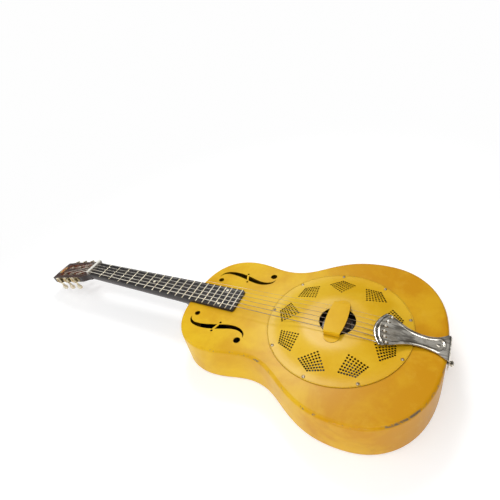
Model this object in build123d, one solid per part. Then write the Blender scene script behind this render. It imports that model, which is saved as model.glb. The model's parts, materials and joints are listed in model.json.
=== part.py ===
from build123d import *
import math
import os

# Resonator guitar with a pressed metal body, a single cone and a slotted headstock.
#
# Millimetres. The origin is the resonator's axis on the outer plane of the back.
# +X runs along the strings from the headstock to the tail, +Y is the treble side, +Z is up out of the top.

# ---------------------------------------------------------------- driving dimensions

# Strings and scale
SCALE_LENGTH = 635.0
COMPENSATION = 4.0                      # the saddle stands this much beyond the scale length
NUT_X = -SCALE_LENGTH - COMPENSATION    # front face of the nut; the saddle is at X = 0
BODY_FRET = 12                          # fret that lies over the joint of neck and body
FRET_COUNT = 19
STRING_RADII = (0.20, 0.23, 0.33, 0.43, 0.56, 0.71)     # string 1 (treble) to string 6 (bass)
WOUND_FROM = 3                          # strings 3 to 6 are wound
NUT_SPREAD = 37.0                       # outer notch to outer notch in the old nut, now unused
RISER_SPREAD = 44.5                     # outer string to outer string on the nut riser
SADDLE_SPREAD = 56.5
RISER_STRING_Z = 15.9                   # string centre over the body's top, on the nut riser
SADDLE_STRING_Z = 16.5                  # the same at the saddle
TAIL_STRING_Z = 9.9                     # the same under the tailpiece
BALL_RADIUS = 1.9
BALL_LENGTH = 3.6
KNUCKLE = 1.04                          # how much a string swells where it bends
WRAP_ANGLE = 150.0                      # how far a string's standing end lies round its roller
WINDING_TURNS = 5
WINDING_CLEARANCE = 0.1                 # between the turns on the roller and the string's standing end

# Body shell
BODY_DEPTH = 83.0
SHEET = 1.0
SKIRT = 7.0                             # depth of the turned-down edge of the top and back
EDGE_RADIUS = 6.0
BODY_HALF_OUTLINE = [
    (-322.5, 0), (-319, 50), (-306, 86), (-278, 116), (-233, 130), (-192, 127), (-148, 119), (-105, 125),
    (-60, 152), (-10, 178), (46, 186), (100, 176), (143, 145), (171, 98), (183, 45), (185.5, 0),
]
INSET_POINTS = 60                       # how finely a parallel of the outline is drawn
F_HOLE_LINE = [(-291, 61), (-285, 75), (-270, 79.5), (-248, 78.5), (-224, 73), (-199, 66.5), (-179, 66.5),
               (-166, 73), (-161, 84)]
F_HOLE_HALF_WIDTH = 6.0
F_HOLE_EYES = [(-284, 52.5, 5.8), (-169, 91.5, 7.0)]        # x, y, radius
F_HOLE_NOTCHES = [(-222, 61.5, 2.6), (-230, 85.0, 2.6)]
F_HOLE_BRIDGE = (-226.0, 73.0)          # the strip of sheet left across the middle of an f-hole
F_HOLE_BRIDGE_WIDTH = 4.0
F_HOLE_BRIDGE_TURN = 20.0
F_HOLE_STEPS = 14
BODY_FRONT_X = BODY_HALF_OUTLINE[0][0]
BODY_TAIL_X = BODY_HALF_OUTLINE[-1][0]

# Resonator
WELL_RADIUS = 122.0
WELL_DEPTH = 31.0
CONE_RADIUS = 120.5
CONE_HEIGHT = 29.0
CONE_SHEET = 0.5
CONE_APEX_RADIUS = 25.0
BISCUIT_RADIUS = 24.0
BISCUIT_THICKNESS = 7.0
SADDLE_LENGTH = 60.0
SADDLE_WIDTH = 3.2
SADDLE_LET_IN = 3.5                     # how deep the saddle stands in the biscuit
SADDLE_CREST = 1.2                      # thickness of the saddle's crest
BISCUIT_SCREW_RADIUS = 1.6
RIM_WIDTH = 7.0                         # flat rim of the cone, and the ledge that carries it
CONE_RINGS = 12
VENT_COUNT = 10
VENT_RADIUS = 8.0

# Cover plate and palm rest
COVER_RADIUS = 133.0
COVER_RISE = 9.6                        # height of the cover's flat middle over the body's top
COVER_HOLE_RADIUS = 33.5
COVER_FLAT_RADIUS = 57.0
COVER_SCREW_CIRCLE = 128.2
COVER_SCREW_COUNT = 9
COVER_SCREW_RADIUS = 1.5
COVER_SCREW_HEAD = (2.8, 1.7)           # radius and height
COVER_FLANGE_RADIUS = 123.5             # where the dome meets the flat flange
COVER_BEAD_RADIUS = 131.4               # inner edge of the bead round the rim
COVER_BEAD_RISE = 0.7
SCREEN_ROWS = 7                         # each screen is a kite of 7 by 7 holes
SCREEN_HOLE_RADIUS = 1.95
SCREEN_INNER = 77.0                     # the kite's corners, as distances from the axis
SCREEN_SIDE = 102.0
SCREEN_OUTER = 115.0
SCREEN_HALF_WIDTH = 24.0
PALM_RISE = 20.0                        # top of the palm rest over the body's top
PALM_HALF_SPAN = 38.5
PALM_FOOT_END = 52.0
PALM_WIDTH_MIDDLE = 37.5
PALM_WIDTH_END = 29.0
PALM_SHEET = 1.5
PALM_FOOT_SHEET = 0.8                   # the feet are hammered thin
PALM_BEND_RADIUS = 3.0

# Tailpiece
TAILPIECE_SHEET = 1.5
TAIL_FRONT_X = 66.0
TAIL_CORNER = (81.0, 36.0)
TAIL_WAIST = (144.0, 13.5)
TAIL_RIM_HALF_WIDTH = 26.0
TAIL_BEND_X = 183.0                     # the line where the deck turns down over the rim
TAIL_BEND_RADIUS = 4.5
TAIL_FLANGE_BOTTOM = 34.0
TAIL_FLANGE_HALF_WIDTH = 14.0           # at the end pin
TAIL_DECK = [(64, 13.5), (72, 14.7), (86, 13.8), (110, 9.8), (140, 4.4), (157, 2.1), (165, 1.6),
             (TAIL_BEND_X, 1.6)]        # x, and height over the body's top
TAIL_HOLE_X = 84.0                      # the row of string holes, at the middle
TAIL_HOLE_BOW = 7.0                     # how much further back the outer two holes are
TAIL_HOLE_LENGTH = 8.0
TAIL_HOLE_WIDTH = 2.2
TAIL_SCREW_X = 170.0
TAIL_SCREW_HEAD = (4.2, 2.2)            # radius and height
BEAD_INSET = 3.0                        # raised bead along the deck's edges
BEAD_WIDTH = 3.0
BEAD_HEIGHT = 0.9
END_PIN_Z = 46.0
END_PIN_RADIUS = 3.0
END_PIN_SHANK = 22.0
END_PIN_FOOT_RADIUS = 5.2
END_PIN_WAIST_RADIUS = 4.0
END_PIN_HEAD_RADIUS = 6.0
END_PIN_LENGTH = 9.8                    # how far it stands out

# Neck
NUT_HALF_WIDTH = 23.0
BODY_FRET_HALF_WIDTH = 28.0
BOARD_THICKNESS = 6.0
BOARD_END_X = -210.0
NUT_THICKNESS = 4.5
NUT_HEIGHT = 8.2                        # old nut's top over the body's top
RISER_HALF_WIDTH = 24.2
RISER_WALL = 1.6                        # the riser straddles the old nut with walls this thick
NECK_DEPTH_NUT = 17.0
NECK_DEPTH_HEEL = 21.0
BOARD_CORNER = 4.5                      # rounding of the board's two end corners
DOT_RADIUS = 3.1
DOT_THICKNESS = 1.4
NECK_SCREW_RADIUS = 2.0
NECK_SCREW_Y = 20.0
NECK_SCREW_HEAD = (3.0, 2.6)            # radius and height
HEEL_DEPTH = 68.0
HEEL_REACH = (13.0, 75.0)               # out from the body at the heel's foot and under the board
HEEL_HALF_WIDTH = (15.0, 27.5)          # at the same two heights
FRET_HEIGHT = 1.1
FRET_WIDTH = 2.2
FRET_TANG = (0.6, 1.8)                  # thickness and depth

# Headstock
HEAD_ANGLE = 13.5
HEAD_RISE = 3.5                         # headstock's face over the body's top plane, at the nut
HEAD_LENGTH = 164.0
HEAD_HALF_WIDTH = 31.5
HEAD_THICKNESS = 16.0
HEAD_SHOULDER = 38.0                    # distance from the nut at which the headstock is full width
HEAD_CORNER = 2.0
HEAD_CROWN = 2.5                        # how far the tip bows out in the middle
SLOT_START = 32.0
SLOT_END = 144.0
SLOT_CORNER = 5.0
SLOT_INNER_Y = 6.5
SLOT_OUTER_Y = 21.5

# Tuners
TUNER_SPACING = 35.5
FIRST_TUNER = 63.0                      # distance from the nut along the headstock
ROLLER_DEPTH = 7.0                      # roller axis below the headstock's face
ROLLER_RADIUS = 3.0
SLEEVE_RADIUS = 4.8
GEAR_TEETH = 14
GEAR_PITCH_RADIUS = 6.0
GEAR_THICKNESS = 2.8
GEAR_Y = 36.6                           # middle plane of the gears and axis plane of the worms
WORM_PITCH_RADIUS = 3.0
WORM_OFFSET = 9.4                       # roller axis to worm axis
WORM_SHAFT_RADIUS = 2.0
THREAD_PITCH = 2 * math.pi * GEAR_PITCH_RADIUS / GEAR_TEETH
WORM_TURNS = 3
SHAFT_REACH = 12.0                      # shaft below the worm's middle, down to the button
GEAR_SCREW_RADIUS = 1.4
GEAR_SCREW_HEAD = (3.0, 1.6)            # radius and height
RUNNING = 0.05                          # radial clearance of every turning or pinned fit
PLATE_THICKNESS = 1.2
PLATE_Y = HEAD_HALF_WIDTH + 0.1
PLATE_TOP = -0.1                        # the plate's edges below the headstock's face
PLATE_BOTTOM = -13.9
PLATE_START = FIRST_TUNER - WORM_OFFSET - 14
PLATE_END = FIRST_TUNER + 2 * TUNER_SPACING + 17
PLATE_SCREW_RADIUS = 1.1
PLATE_SCREW_HEAD = (2.1, 1.2)           # radius and height
LUG_THICKNESS = 1.2
LUG_HALF_WIDTH = 3.6
LUG_GAP_TOP = -1.4                      # the two lugs hold the worm between these heights
LUG_GAP_BOTTOM = -12.6
BUTTON_HEIGHT = 14.0
BUTTON_WIDTH = 16.5
BUTTON_THICKNESS = 7.5
BUTTON_TANG = (1.3, 9.0)                # radius and length of the shaft's end inside the button

# ---------------------------------------------------------------- derived places

TOP_Z = BODY_DEPTH
BOARD_TOP_Z = TOP_Z + BOARD_THICKNESS
LEDGE_Z = TOP_Z - WELL_DEPTH
APEX_Z = LEDGE_Z + CONE_HEIGHT
COVER_MIDDLE_Z = TOP_Z + COVER_RISE
STICK_BOTTOM_Z = 12.0
STICK_TOP_Z = 46.0
STICK_HALF_WIDTH = 19.0
STICK_HEAD_HALF_WIDTH = 26.0            # the raised part under the board's end
TAIL_BLOCK_X = 158.0
STRINGS = range(1, 7)

# The headstock's own axes: x from the nut to the tip, y to the bass side, z out of its face.
HEAD = Plane(
    origin=(NUT_X - NUT_THICKNESS, 0, TOP_Z + HEAD_RISE),
    x_dir=(-math.cos(math.radians(HEAD_ANGLE)), 0, -math.sin(math.radians(HEAD_ANGLE))),
    z_dir=(-math.sin(math.radians(HEAD_ANGLE)), 0, math.cos(math.radians(HEAD_ANGLE))),
)


def fret_x(number):
    """Where a fret crosses the board: each one shortens the string by a twelfth root of two."""
    return NUT_X + SCALE_LENGTH * (1 - 2 ** (-number / 12))


def board_half_width(x):
    """The board widens evenly from the nut."""
    growth = (BODY_FRET_HALF_WIDTH - NUT_HALF_WIDTH) / (fret_x(BODY_FRET) - NUT_X)
    return NUT_HALF_WIDTH + growth * (x - NUT_X)


def string_y(number, spread):
    """Lateral place of a string where the six of them span the given spread."""
    return spread * (3.5 - number) / 5


def hole(x, y, z_low, z_high, radius):
    """A vertical round cutter or peg."""
    return Pos(x, y, (z_low + z_high) / 2) * Cylinder(radius, z_high - z_low)


def block(x_range, y_range, z_range):
    """A box between two planes on each axis."""
    spans = (x_range, y_range, z_range)
    middle = [(low + high) / 2 for low, high in spans]
    return Pos(*middle) * Box(*[high - low for low, high in spans])


def rod(start, end, radius):
    """A round rod between two points."""
    along = end - start
    return Plane(origin=(start + end) / 2, z_dir=along) * Cylinder(radius, along.length)


def arc_rod(start, middle, end, radius):
    """A round rod bent along the arc through three points."""
    arc = ThreePointArc(start, middle, end)
    return sweep(Plane(origin=start, z_dir=arc % 0) * Circle(radius), path=arc)


def group(shapes):
    """Several separate solids in one node."""
    return Compound(children=[solid for shape in shapes for solid in shape.solids()])


# ---------------------------------------------------------------- body shell

def body_face(inset=0.0):
    """The body's plan, one closed curve, drawn in by an inset or let out by a negative one."""
    bass_side = [(x, -y) for x, y in reversed(BODY_HALF_OUTLINE[1:-1])]
    outline = Spline(*BODY_HALF_OUTLINE, *bass_side, periodic=True)
    if inset:
        steps = [number / INSET_POINTS for number in range(INSET_POINTS)]
        inner = [outline @ part - (outline % part).rotate(Axis.Z, 90) * inset for part in steps]
        outline = Spline(*inner, periodic=True)
    return make_face([outline])


def rounded_slab(inset, z_low, z_high, radius):
    """The body's plan as a slab with a rounded upper edge."""
    slab = extrude(Pos(0, 0, z_low) * body_face(inset), z_high - z_low)
    return fillet(slab.faces().sort_by(Axis.Z)[-1].edges(), radius)


def pressed_pan():
    """A sheet with a rounded, turned-down edge, before anything is cut in it."""
    outside = rounded_slab(0, TOP_Z - SKIRT, TOP_Z, EDGE_RADIUS)
    inside = rounded_slab(SHEET, TOP_Z - SKIRT - SHEET, TOP_Z - SHEET, EDGE_RADIUS - SHEET)
    return outside - inside


def f_hole_face():
    """One f-hole on the treble side: a tapered stroke cut by a bridge, with round eyes and notches."""
    centre = Spline(*F_HOLE_LINE)
    edges = {1: [], -1: []}
    for step in range(F_HOLE_STEPS + 1):
        part = step / F_HOLE_STEPS
        across = (centre % part).rotate(Axis.Z, 90)
        half = F_HOLE_HALF_WIDTH * math.sin(math.pi * part) ** 0.8
        for side in edges:
            edges[side].append(centre @ part + across * (side * half))
    stroke = make_face([Spline(*edges[1]), Spline(*edges[-1])])
    bridge = Pos(*F_HOLE_BRIDGE) * Rot(0, 0, F_HOLE_BRIDGE_TURN) * Rectangle(F_HOLE_BRIDGE_WIDTH, 30)
    face = stroke - bridge
    for x, y, radius in F_HOLE_EYES + F_HOLE_NOTCHES:
        face += Pos(x, y) * Circle(radius)
    return face


def cover_screw_places():
    """The cover's screws, evenly round its rim, one of them on the neck side's centre line."""
    step = 360 / COVER_SCREW_COUNT
    return [(COVER_SCREW_CIRCLE, 180 - step * number) for number in range(COVER_SCREW_COUNT)]


def neck_screw_places():
    """Two screws side by side in the 17th fret space."""
    x = (fret_x(16) + fret_x(17)) / 2
    return [(x, -NECK_SCREW_Y), (x, NECK_SCREW_Y)]


def top_plate():
    """The pressed top: resonator opening, f-holes and screw holes."""
    plate = pressed_pan()
    plate -= hole(0, 0, TOP_Z - 2, TOP_Z + 1, WELL_RADIUS)
    cutter = extrude(Pos(0, 0, TOP_Z - 2) * f_hole_face(), 4)
    plate -= cutter
    plate -= mirror(cutter, about=Plane.XZ)
    for radius, angle in cover_screw_places():
        plate -= Rot(0, 0, angle) * hole(radius, 0, TOP_Z - 2, TOP_Z + 1, COVER_SCREW_RADIUS + RUNNING)
    for x, y in neck_screw_places():
        plate -= hole(x, y, TOP_Z - 2, TOP_Z + 1, NECK_SCREW_RADIUS + RUNNING)
    plate -= hole(TAIL_SCREW_X, 0, TOP_Z - 2, TOP_Z + 1, COVER_SCREW_RADIUS + RUNNING)
    return plate


def back_plate():
    """The pressed back is the top's pan turned over, with nothing cut in it."""
    return mirror(pressed_pan(), about=Plane.XY.offset(BODY_DEPTH / 2))


def side_band():
    """The sheet round the sides, butted between the skirts of the top and the back."""
    height = BODY_DEPTH - 2 * SKIRT
    band = extrude(Pos(0, 0, SKIRT) * (body_face() - body_face(SHEET)), height)
    gap = 0.2
    band -= block(
        (BODY_FRONT_X - 2, BODY_FRONT_X + 4),
        (-STICK_HALF_WIDTH - gap, STICK_HALF_WIDTH + gap),
        (STICK_BOTTOM_Z - gap, STICK_TOP_Z + gap),
    )
    return band - Pos(BODY_TAIL_X, 0, END_PIN_Z) * Rot(0, 90, 0) * Cylinder(END_PIN_RADIUS + RUNNING, 6)


# ---------------------------------------------------------------- resonator

def revolved(points):
    """A closed section of radius and height pairs, turned round the resonator's axis."""
    section = make_face(Polyline(*[(radius, 0, z) for radius, z in points], close=True))
    return revolve(section, Axis.Z)


def sound_well():
    """The shelf that carries the cone: a flange under the top, a wall with vents, and a ledge."""
    under_top = TOP_Z - SHEET
    outer = WELL_RADIUS + SHEET
    well = revolved([
        (WELL_RADIUS, under_top), (outer + 3, under_top), (outer + 3, under_top - SHEET),
        (outer, under_top - SHEET), (outer, LEDGE_Z - SHEET), (WELL_RADIUS - RIM_WIDTH, LEDGE_Z - SHEET),
        (WELL_RADIUS - RIM_WIDTH, LEDGE_Z), (WELL_RADIUS, LEDGE_Z),
    ])
    vent = Pos(outer, 0, (under_top + LEDGE_Z) / 2) * Rot(0, 90, 0) * Cylinder(VENT_RADIUS, 6)
    step = 360 / VENT_COUNT
    for number in range(VENT_COUNT):
        well -= Rot(0, 0, step * (number + 0.5)) * vent
    return well


def resonator_cone():
    """Spun aluminium: a flat rim on the ledge, a cone with shallow rings, and a flat apex."""
    rim_inner = CONE_RADIUS - RIM_WIDTH
    run = (rim_inner - CONE_APEX_RADIUS) / CONE_RINGS
    rise = (CONE_HEIGHT - CONE_SHEET) / CONE_RINGS
    upper = [(CONE_RADIUS, LEDGE_Z + CONE_SHEET), (rim_inner, LEDGE_Z + CONE_SHEET)]
    for ring in range(CONE_RINGS):
        foot_radius = rim_inner - run * ring
        foot_z = LEDGE_Z + CONE_SHEET + rise * ring
        upper.append((foot_radius - 0.55 * run, foot_z + 0.8 * rise))
        upper.append((foot_radius - run, foot_z + rise))
    upper.append((1.75, APEX_Z))
    lower = [(radius, z - CONE_SHEET) for radius, z in reversed(upper)]
    return revolved(upper + lower)


def biscuit():
    """The maple disc on the apex, slotted for the saddle and drilled from below."""
    top = APEX_Z + BISCUIT_THICKNESS
    disc = hole(0, 0, APEX_Z, top, BISCUIT_RADIUS)
    disc = chamfer(disc.edges().filter_by(GeomType.CIRCLE).sort_by(Axis.Z)[-1:], 1.5)
    disc -= block(
        (-SADDLE_WIDTH / 2, SADDLE_WIDTH / 2),
        (-BISCUIT_RADIUS - 1, BISCUIT_RADIUS + 1),
        (top - SADDLE_LET_IN, top + 1),
    )
    return disc - hole(0, 0, APEX_Z - 1, APEX_Z + 3.2, BISCUIT_SCREW_RADIUS + RUNNING)


def saddle():
    """A thin maple blade across the biscuit, its crest notched for the strings."""
    low = APEX_Z + BISCUIT_THICKNESS - SADDLE_LET_IN
    crest = TOP_Z + SADDLE_STRING_Z + 0.4
    half_length = SADDLE_LENGTH / 2
    half_width = SADDLE_WIDTH / 2
    half_crest = SADDLE_CREST / 2
    end_on = Polyline(
        (0, -half_width, low), (0, half_width, low), (0, half_width, crest - 3), (0, half_crest, crest),
        (0, -half_crest, crest), (0, -half_width, crest - 3), close=True,
    )
    blade = extrude(make_face(end_on), SADDLE_LENGTH, dir=(1, 0, 0))
    blade = Pos(0, -half_length, 0) * Rot(0, 0, 90) * blade
    blade -= [string_notch(number, 0, SADDLE_SPREAD, SADDLE_STRING_Z, SADDLE_WIDTH) for number in STRINGS]
    return blade


def string_notch(number, x, spread, string_z, length):
    """The slot that a string lies in, open upwards."""
    radius = STRING_RADII[number - 1] + RUNNING
    y = string_y(number, spread)
    z = TOP_Z + string_z
    bottom = Pos(x, y, z) * Rot(0, 90, 0) * Cylinder(radius, length + 3)
    return bottom + block((x - length / 2 - 1.5, x + length / 2 + 1.5), (y - radius, y + radius), (z, z + 5))


def biscuit_screw():
    """The screw and washer that draw the biscuit down on the cone from below."""
    under = APEX_Z - CONE_SHEET
    washer = hole(0, 0, under - 0.8, under, 5.0) - hole(0, 0, under - 1, under + 1, 1.75)
    head = hole(0, 0, under - 2.8, under - 0.8, 3.2)
    return group([washer, head + hole(0, 0, under - 0.8, APEX_Z + 3.0, BISCUIT_SCREW_RADIUS)])


# ---------------------------------------------------------------- cover plate and palm rest

def cover_section():
    """Half the cover's section: flat middle, a soft slope, flat flange, and a beaded rim."""
    def skin(drop):
        """The line of the upper or, dropped by the sheet's thickness, the lower surface."""
        edge = (COVER_HOLE_RADIUS, 0, COVER_MIDDLE_Z - drop)
        flat = (COVER_FLAT_RADIUS, 0, COVER_MIDDLE_Z - drop)
        flange = (COVER_FLANGE_RADIUS, 0, TOP_Z + SHEET - drop)
        return [Line(edge, flat), Spline(flat, flange, tangents=[(1, 0, 0), (1, 0, 0)])]

    top = TOP_Z + SHEET
    bead_top = ((COVER_RADIUS + COVER_BEAD_RADIUS) / 2, 0, top + COVER_BEAD_RISE)
    rim = [
        Line((COVER_FLANGE_RADIUS, 0, top), (COVER_BEAD_RADIUS, 0, top)),
        ThreePointArc((COVER_BEAD_RADIUS, 0, top), bead_top, (COVER_RADIUS, 0, top)),
        Line((COVER_RADIUS, 0, top), (COVER_RADIUS, 0, TOP_Z)),
        Line((COVER_RADIUS, 0, TOP_Z), (COVER_FLANGE_RADIUS, 0, TOP_Z)),
    ]
    lip = Line((COVER_HOLE_RADIUS, 0, COVER_MIDDLE_Z), (COVER_HOLE_RADIUS, 0, COVER_MIDDLE_Z - SHEET))
    return make_face(skin(0) + rim + skin(SHEET) + [lip])


def screen_holes():
    """Centres of one screen's holes: a square grid stretched over a kite that points at the axis."""
    corners = ((SCREEN_INNER, 0), (SCREEN_SIDE, SCREEN_HALF_WIDTH), (SCREEN_OUTER, 0),
               (SCREEN_SIDE, -SCREEN_HALF_WIDTH))
    last = SCREEN_ROWS - 1
    places = []
    for row in range(SCREEN_ROWS):
        for column in range(SCREEN_ROWS):
            u = row / last
            v = column / last
            weights = ((1 - u) * (1 - v), u * (1 - v), u * v, (1 - u) * v)
            places.append(tuple(sum(w * c[axis] for w, c in zip(weights, corners)) for axis in (0, 1)))
    return places


def cover_plate():
    """The domed cover: nine screens of round holes, nine screw holes, and the middle opening."""
    plate = revolve(cover_section(), Axis.Z)
    cutters = []
    for radius, angle in cover_screw_places():
        turn = Rot(0, 0, angle)
        cutters.append(turn * hole(radius, 0, TOP_Z - 1, TOP_Z + 3, COVER_SCREW_RADIUS + RUNNING))
        for x, y in screen_holes():
            cutters.append(turn * hole(x, y, TOP_Z, COVER_MIDDLE_Z + 1, SCREEN_HOLE_RADIUS))
    return plate - cutters


def palm_plan():
    """The palm rest from above: a barrel-sided middle and round-ended feet."""
    end = PALM_WIDTH_END / 2
    middle = PALM_WIDTH_MIDDLE / 2
    right = ThreePointArc((end, -PALM_HALF_SPAN), (middle, 0), (end, PALM_HALF_SPAN))
    left = ThreePointArc((-end, -PALM_HALF_SPAN), (-middle, 0), (-end, PALM_HALF_SPAN))
    treble_foot = ThreePointArc((end, PALM_HALF_SPAN), (0, PALM_FOOT_END), (-end, PALM_HALF_SPAN))
    bass_foot = mirror(treble_foot, about=Plane.XZ)
    return make_face([right, treble_foot, left, bass_foot])


def palm_rest():
    """A strap bent up over the cover's opening, standing on two thin feet."""
    top = TOP_Z + PALM_RISE
    foot = COVER_MIDDLE_Z
    wide = (-PALM_WIDTH_MIDDLE, PALM_WIDTH_MIDDLE)

    def tunnel(shrink, low):
        """The strap's outer or inner bulk, rounded along its two bends."""
        half_span = PALM_HALF_SPAN - shrink
        bulk = block(wide, (-half_span, half_span), (low, top - shrink))
        return fillet(bulk.edges().filter_by(Axis.X).sort_by(Axis.Z)[-2:], PALM_BEND_RADIUS - shrink)

    feet = block(wide, (-PALM_FOOT_END, PALM_FOOT_END), (foot, foot + PALM_FOOT_SHEET))
    strap = tunnel(0, foot) + feet - tunnel(PALM_SHEET, foot - 1)
    return strap & extrude(Pos(0, 0, foot - 1) * palm_plan(), top - foot + 2)


def cap_arc(radius, low, high):
    """A spherical cap's section, from its rim up to the axis."""
    rise = high - low
    ball = (radius ** 2 + rise ** 2) / (2 * rise)
    half_turn = math.asin(radius / ball) / 2
    middle = (ball * math.sin(half_turn), 0, high - ball + ball * math.cos(half_turn))
    return ThreePointArc((radius, 0, low), middle, (0, 0, high))


def round_head_screw(head_radius, head_height, shank_radius, shank_length):
    """A slotted round-head screw standing on the plane z = 0, its shank below."""
    flat = 0.25 * head_height
    section = make_face([
        Line((0, 0, -shank_length), (shank_radius, 0, -shank_length)),
        Line((shank_radius, 0, -shank_length), (shank_radius, 0, 0)),
        Line((shank_radius, 0, 0), (head_radius, 0, 0)),
        Line((head_radius, 0, 0), (head_radius, 0, flat)),
        cap_arc(head_radius, flat, head_height),
        Line((0, 0, head_height), (0, 0, -shank_length)),
    ])
    slot = Pos(0, 0, head_height) * Box(3 * head_radius, 0.22 * head_radius, 0.9 * head_height)
    return revolve(section, Axis.Z) - slot


def cover_screws():
    """Nine screws through the cover's flange into the top."""
    screw = round_head_screw(*COVER_SCREW_HEAD, COVER_SCREW_RADIUS, 7)
    return group([
        Rot(0, 0, angle) * Pos(radius, 0, TOP_Z + SHEET) * Rot(0, 0, 40) * screw
        for radius, angle in cover_screw_places()
    ])


# ---------------------------------------------------------------- tailpiece

def deck_line(lift=0.0):
    """The tailpiece's upper surface along the middle line, from its front edge to the bend."""
    return Spline(*[(x, 0, TOP_Z + z + lift) for x, z in TAIL_DECK], tangents=[(1, 0, 0.6), (1, 0, 0)])


def deck_z(x):
    """Height of the deck's upper surface over x, on the middle line."""
    line = Line((x, 0, TOP_Z), (x, 0, TOP_Z + 30))
    return deck_line().intersect(line).vertices()[0].Z


def deck_slab(lift, thickness):
    """The deck's section pulled out sideways, lifted and as thick as asked."""
    upper = deck_line(lift)
    lower = deck_line(lift - thickness)
    section = make_face([upper, lower, Line(upper @ 0, lower @ 0), Line(upper @ 1, lower @ 1)])
    return extrude(section, 40, both=True, dir=(0, 1, 0))


def deck_side(inset=0.0):
    """The deck's treble edge from above, concave to the waist and flared at the rim."""
    corner_x, corner_y = TAIL_CORNER
    waist_x, waist_y = TAIL_WAIST
    return Spline(
        (corner_x, corner_y - inset), (95, 31.5 - inset), (114, 20.5 - inset), (waist_x, waist_y - inset),
        (168, 17.0 - inset), (TAIL_BEND_X, TAIL_RIM_HALF_WIDTH - inset),
    )


def deck_plan():
    """The deck from above, between its bowed front and the bend."""
    corner_x, corner_y = TAIL_CORNER
    front = ThreePointArc((corner_x, -corner_y), (TAIL_FRONT_X, 0), (corner_x, corner_y))
    end = Line((TAIL_BEND_X, -TAIL_RIM_HALF_WIDTH), (TAIL_BEND_X, TAIL_RIM_HALF_WIDTH))
    return make_face([front, deck_side(), mirror(deck_side(), about=Plane.XZ), end])


def bead_plan():
    """The treble side's raised bead from above: a band that follows the edge."""
    outer = deck_side(BEAD_INSET)
    inner = deck_side(BEAD_INSET + BEAD_WIDTH)
    return make_face([outer, inner, Line(outer @ 0, inner @ 0), Line(outer @ 1, inner @ 1)])


def tail_holes():
    """Where the strings come up through the tailpiece: a bowed row."""
    return [
        (TAIL_HOLE_X + TAIL_HOLE_BOW * (2 * string_y(number, SADDLE_SPREAD) / SADDLE_SPREAD) ** 2,
         string_y(number, SADDLE_SPREAD))
        for number in STRINGS
    ]


def bend_curve(radius, middle_z):
    """A quarter turn from level to straight down round the tailpiece's bend line."""
    half = radius * math.sqrt(0.5)
    return ThreePointArc(
        (TAIL_BEND_X, 0, middle_z + radius),
        (TAIL_BEND_X + half, 0, middle_z + half),
        (TAIL_BEND_X + radius, 0, middle_z),
    )


def tailpiece():
    """Pressed sheet: the deck with a raised bead, bent over the rim into a flange for the end pin."""
    tall = BODY_DEPTH
    deck = deck_slab(0, TAILPIECE_SHEET) & extrude(deck_plan(), 2 * tall)
    length = block((TAIL_HOLE_X + 10, TAIL_BEND_X - 5), (0, 40), (TOP_Z - 5, TOP_Z + 20))
    bead = deck_slab(BEAD_HEIGHT, TAILPIECE_SHEET) & extrude(bead_plan(), 2 * tall) & length
    deck += [bead, mirror(bead, about=Plane.XZ)]

    top = TOP_Z + TAIL_DECK[-1][1]
    face_x = TAIL_BEND_X + TAIL_BEND_RADIUS
    middle_z = top - TAIL_BEND_RADIUS
    outer_bend = bend_curve(TAIL_BEND_RADIUS, middle_z)
    inner_bend = bend_curve(TAIL_BEND_RADIUS - TAILPIECE_SHEET, middle_z)
    low_outer = (face_x, 0, TAIL_FLANGE_BOTTOM)
    low_inner = (face_x - TAILPIECE_SHEET, 0, TAIL_FLANGE_BOTTOM)
    flange_section = make_face([
        outer_bend, Polyline(outer_bend @ 1, low_outer, low_inner, inner_bend @ 1),
        inner_bend, Line(inner_bend @ 0, outer_bend @ 0),
    ])
    flange = extrude(flange_section, 30, both=True, dir=(0, 1, 0))
    wide = TAIL_RIM_HALF_WIDTH
    narrow = TAIL_FLANGE_HALF_WIDTH
    front_on = make_face([
        Polyline((face_x, -narrow, END_PIN_Z), (face_x, -wide, middle_z), (face_x, -wide, top + 1),
                 (face_x, wide, top + 1), (face_x, wide, middle_z), (face_x, narrow, END_PIN_Z)),
        ThreePointArc((face_x, narrow, END_PIN_Z), (face_x, 0, TAIL_FLANGE_BOTTOM),
                      (face_x, -narrow, END_PIN_Z)),
    ])
    deck += flange & extrude(front_on, 10, both=True, dir=(1, 0, 0))

    deck -= Pos(face_x, 0, END_PIN_Z) * Rot(0, 90, 0) * Cylinder(END_PIN_RADIUS + RUNNING, 8)
    deck -= hole(TAIL_SCREW_X, 0, TOP_Z - 1, TOP_Z + 8, COVER_SCREW_RADIUS + RUNNING)
    slot = extrude(Pos(0, 0, TOP_Z + 5) * SlotOverall(TAIL_HOLE_LENGTH, TAIL_HOLE_WIDTH), 15)
    return deck - [Pos(x, y, 0) * slot for x, y in tail_holes()]


def tailpiece_screw():
    """The round-head screw that holds the tailpiece's waist to the top."""
    seat = TOP_Z + TAIL_DECK[-1][1] + 0.1
    return Pos(TAIL_SCREW_X, 0, seat) * round_head_screw(*TAIL_SCREW_HEAD, COVER_SCREW_RADIUS, 9)


def end_pin():
    """The turned strap button: a shank in the tail block and a waisted head outside."""
    head_low = 6.0
    neck = ThreePointArc((END_PIN_FOOT_RADIUS, 0, RUNNING), (END_PIN_WAIST_RADIUS, 0, 3.2),
                         (END_PIN_HEAD_RADIUS, 0, head_low))
    section = make_face([
        Polyline((0, 0, END_PIN_LENGTH), (0, 0, -END_PIN_SHANK), (END_PIN_RADIUS, 0, -END_PIN_SHANK),
                 (END_PIN_RADIUS, 0, RUNNING), (END_PIN_FOOT_RADIUS, 0, RUNNING)),
        neck,
        cap_arc(END_PIN_HEAD_RADIUS, head_low, END_PIN_LENGTH),
    ])
    return Pos(TAIL_BEND_X + TAIL_BEND_RADIUS, 0, END_PIN_Z) * Rot(0, 90, 0) * revolve(section, Axis.Z)


# ---------------------------------------------------------------- neck

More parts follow.
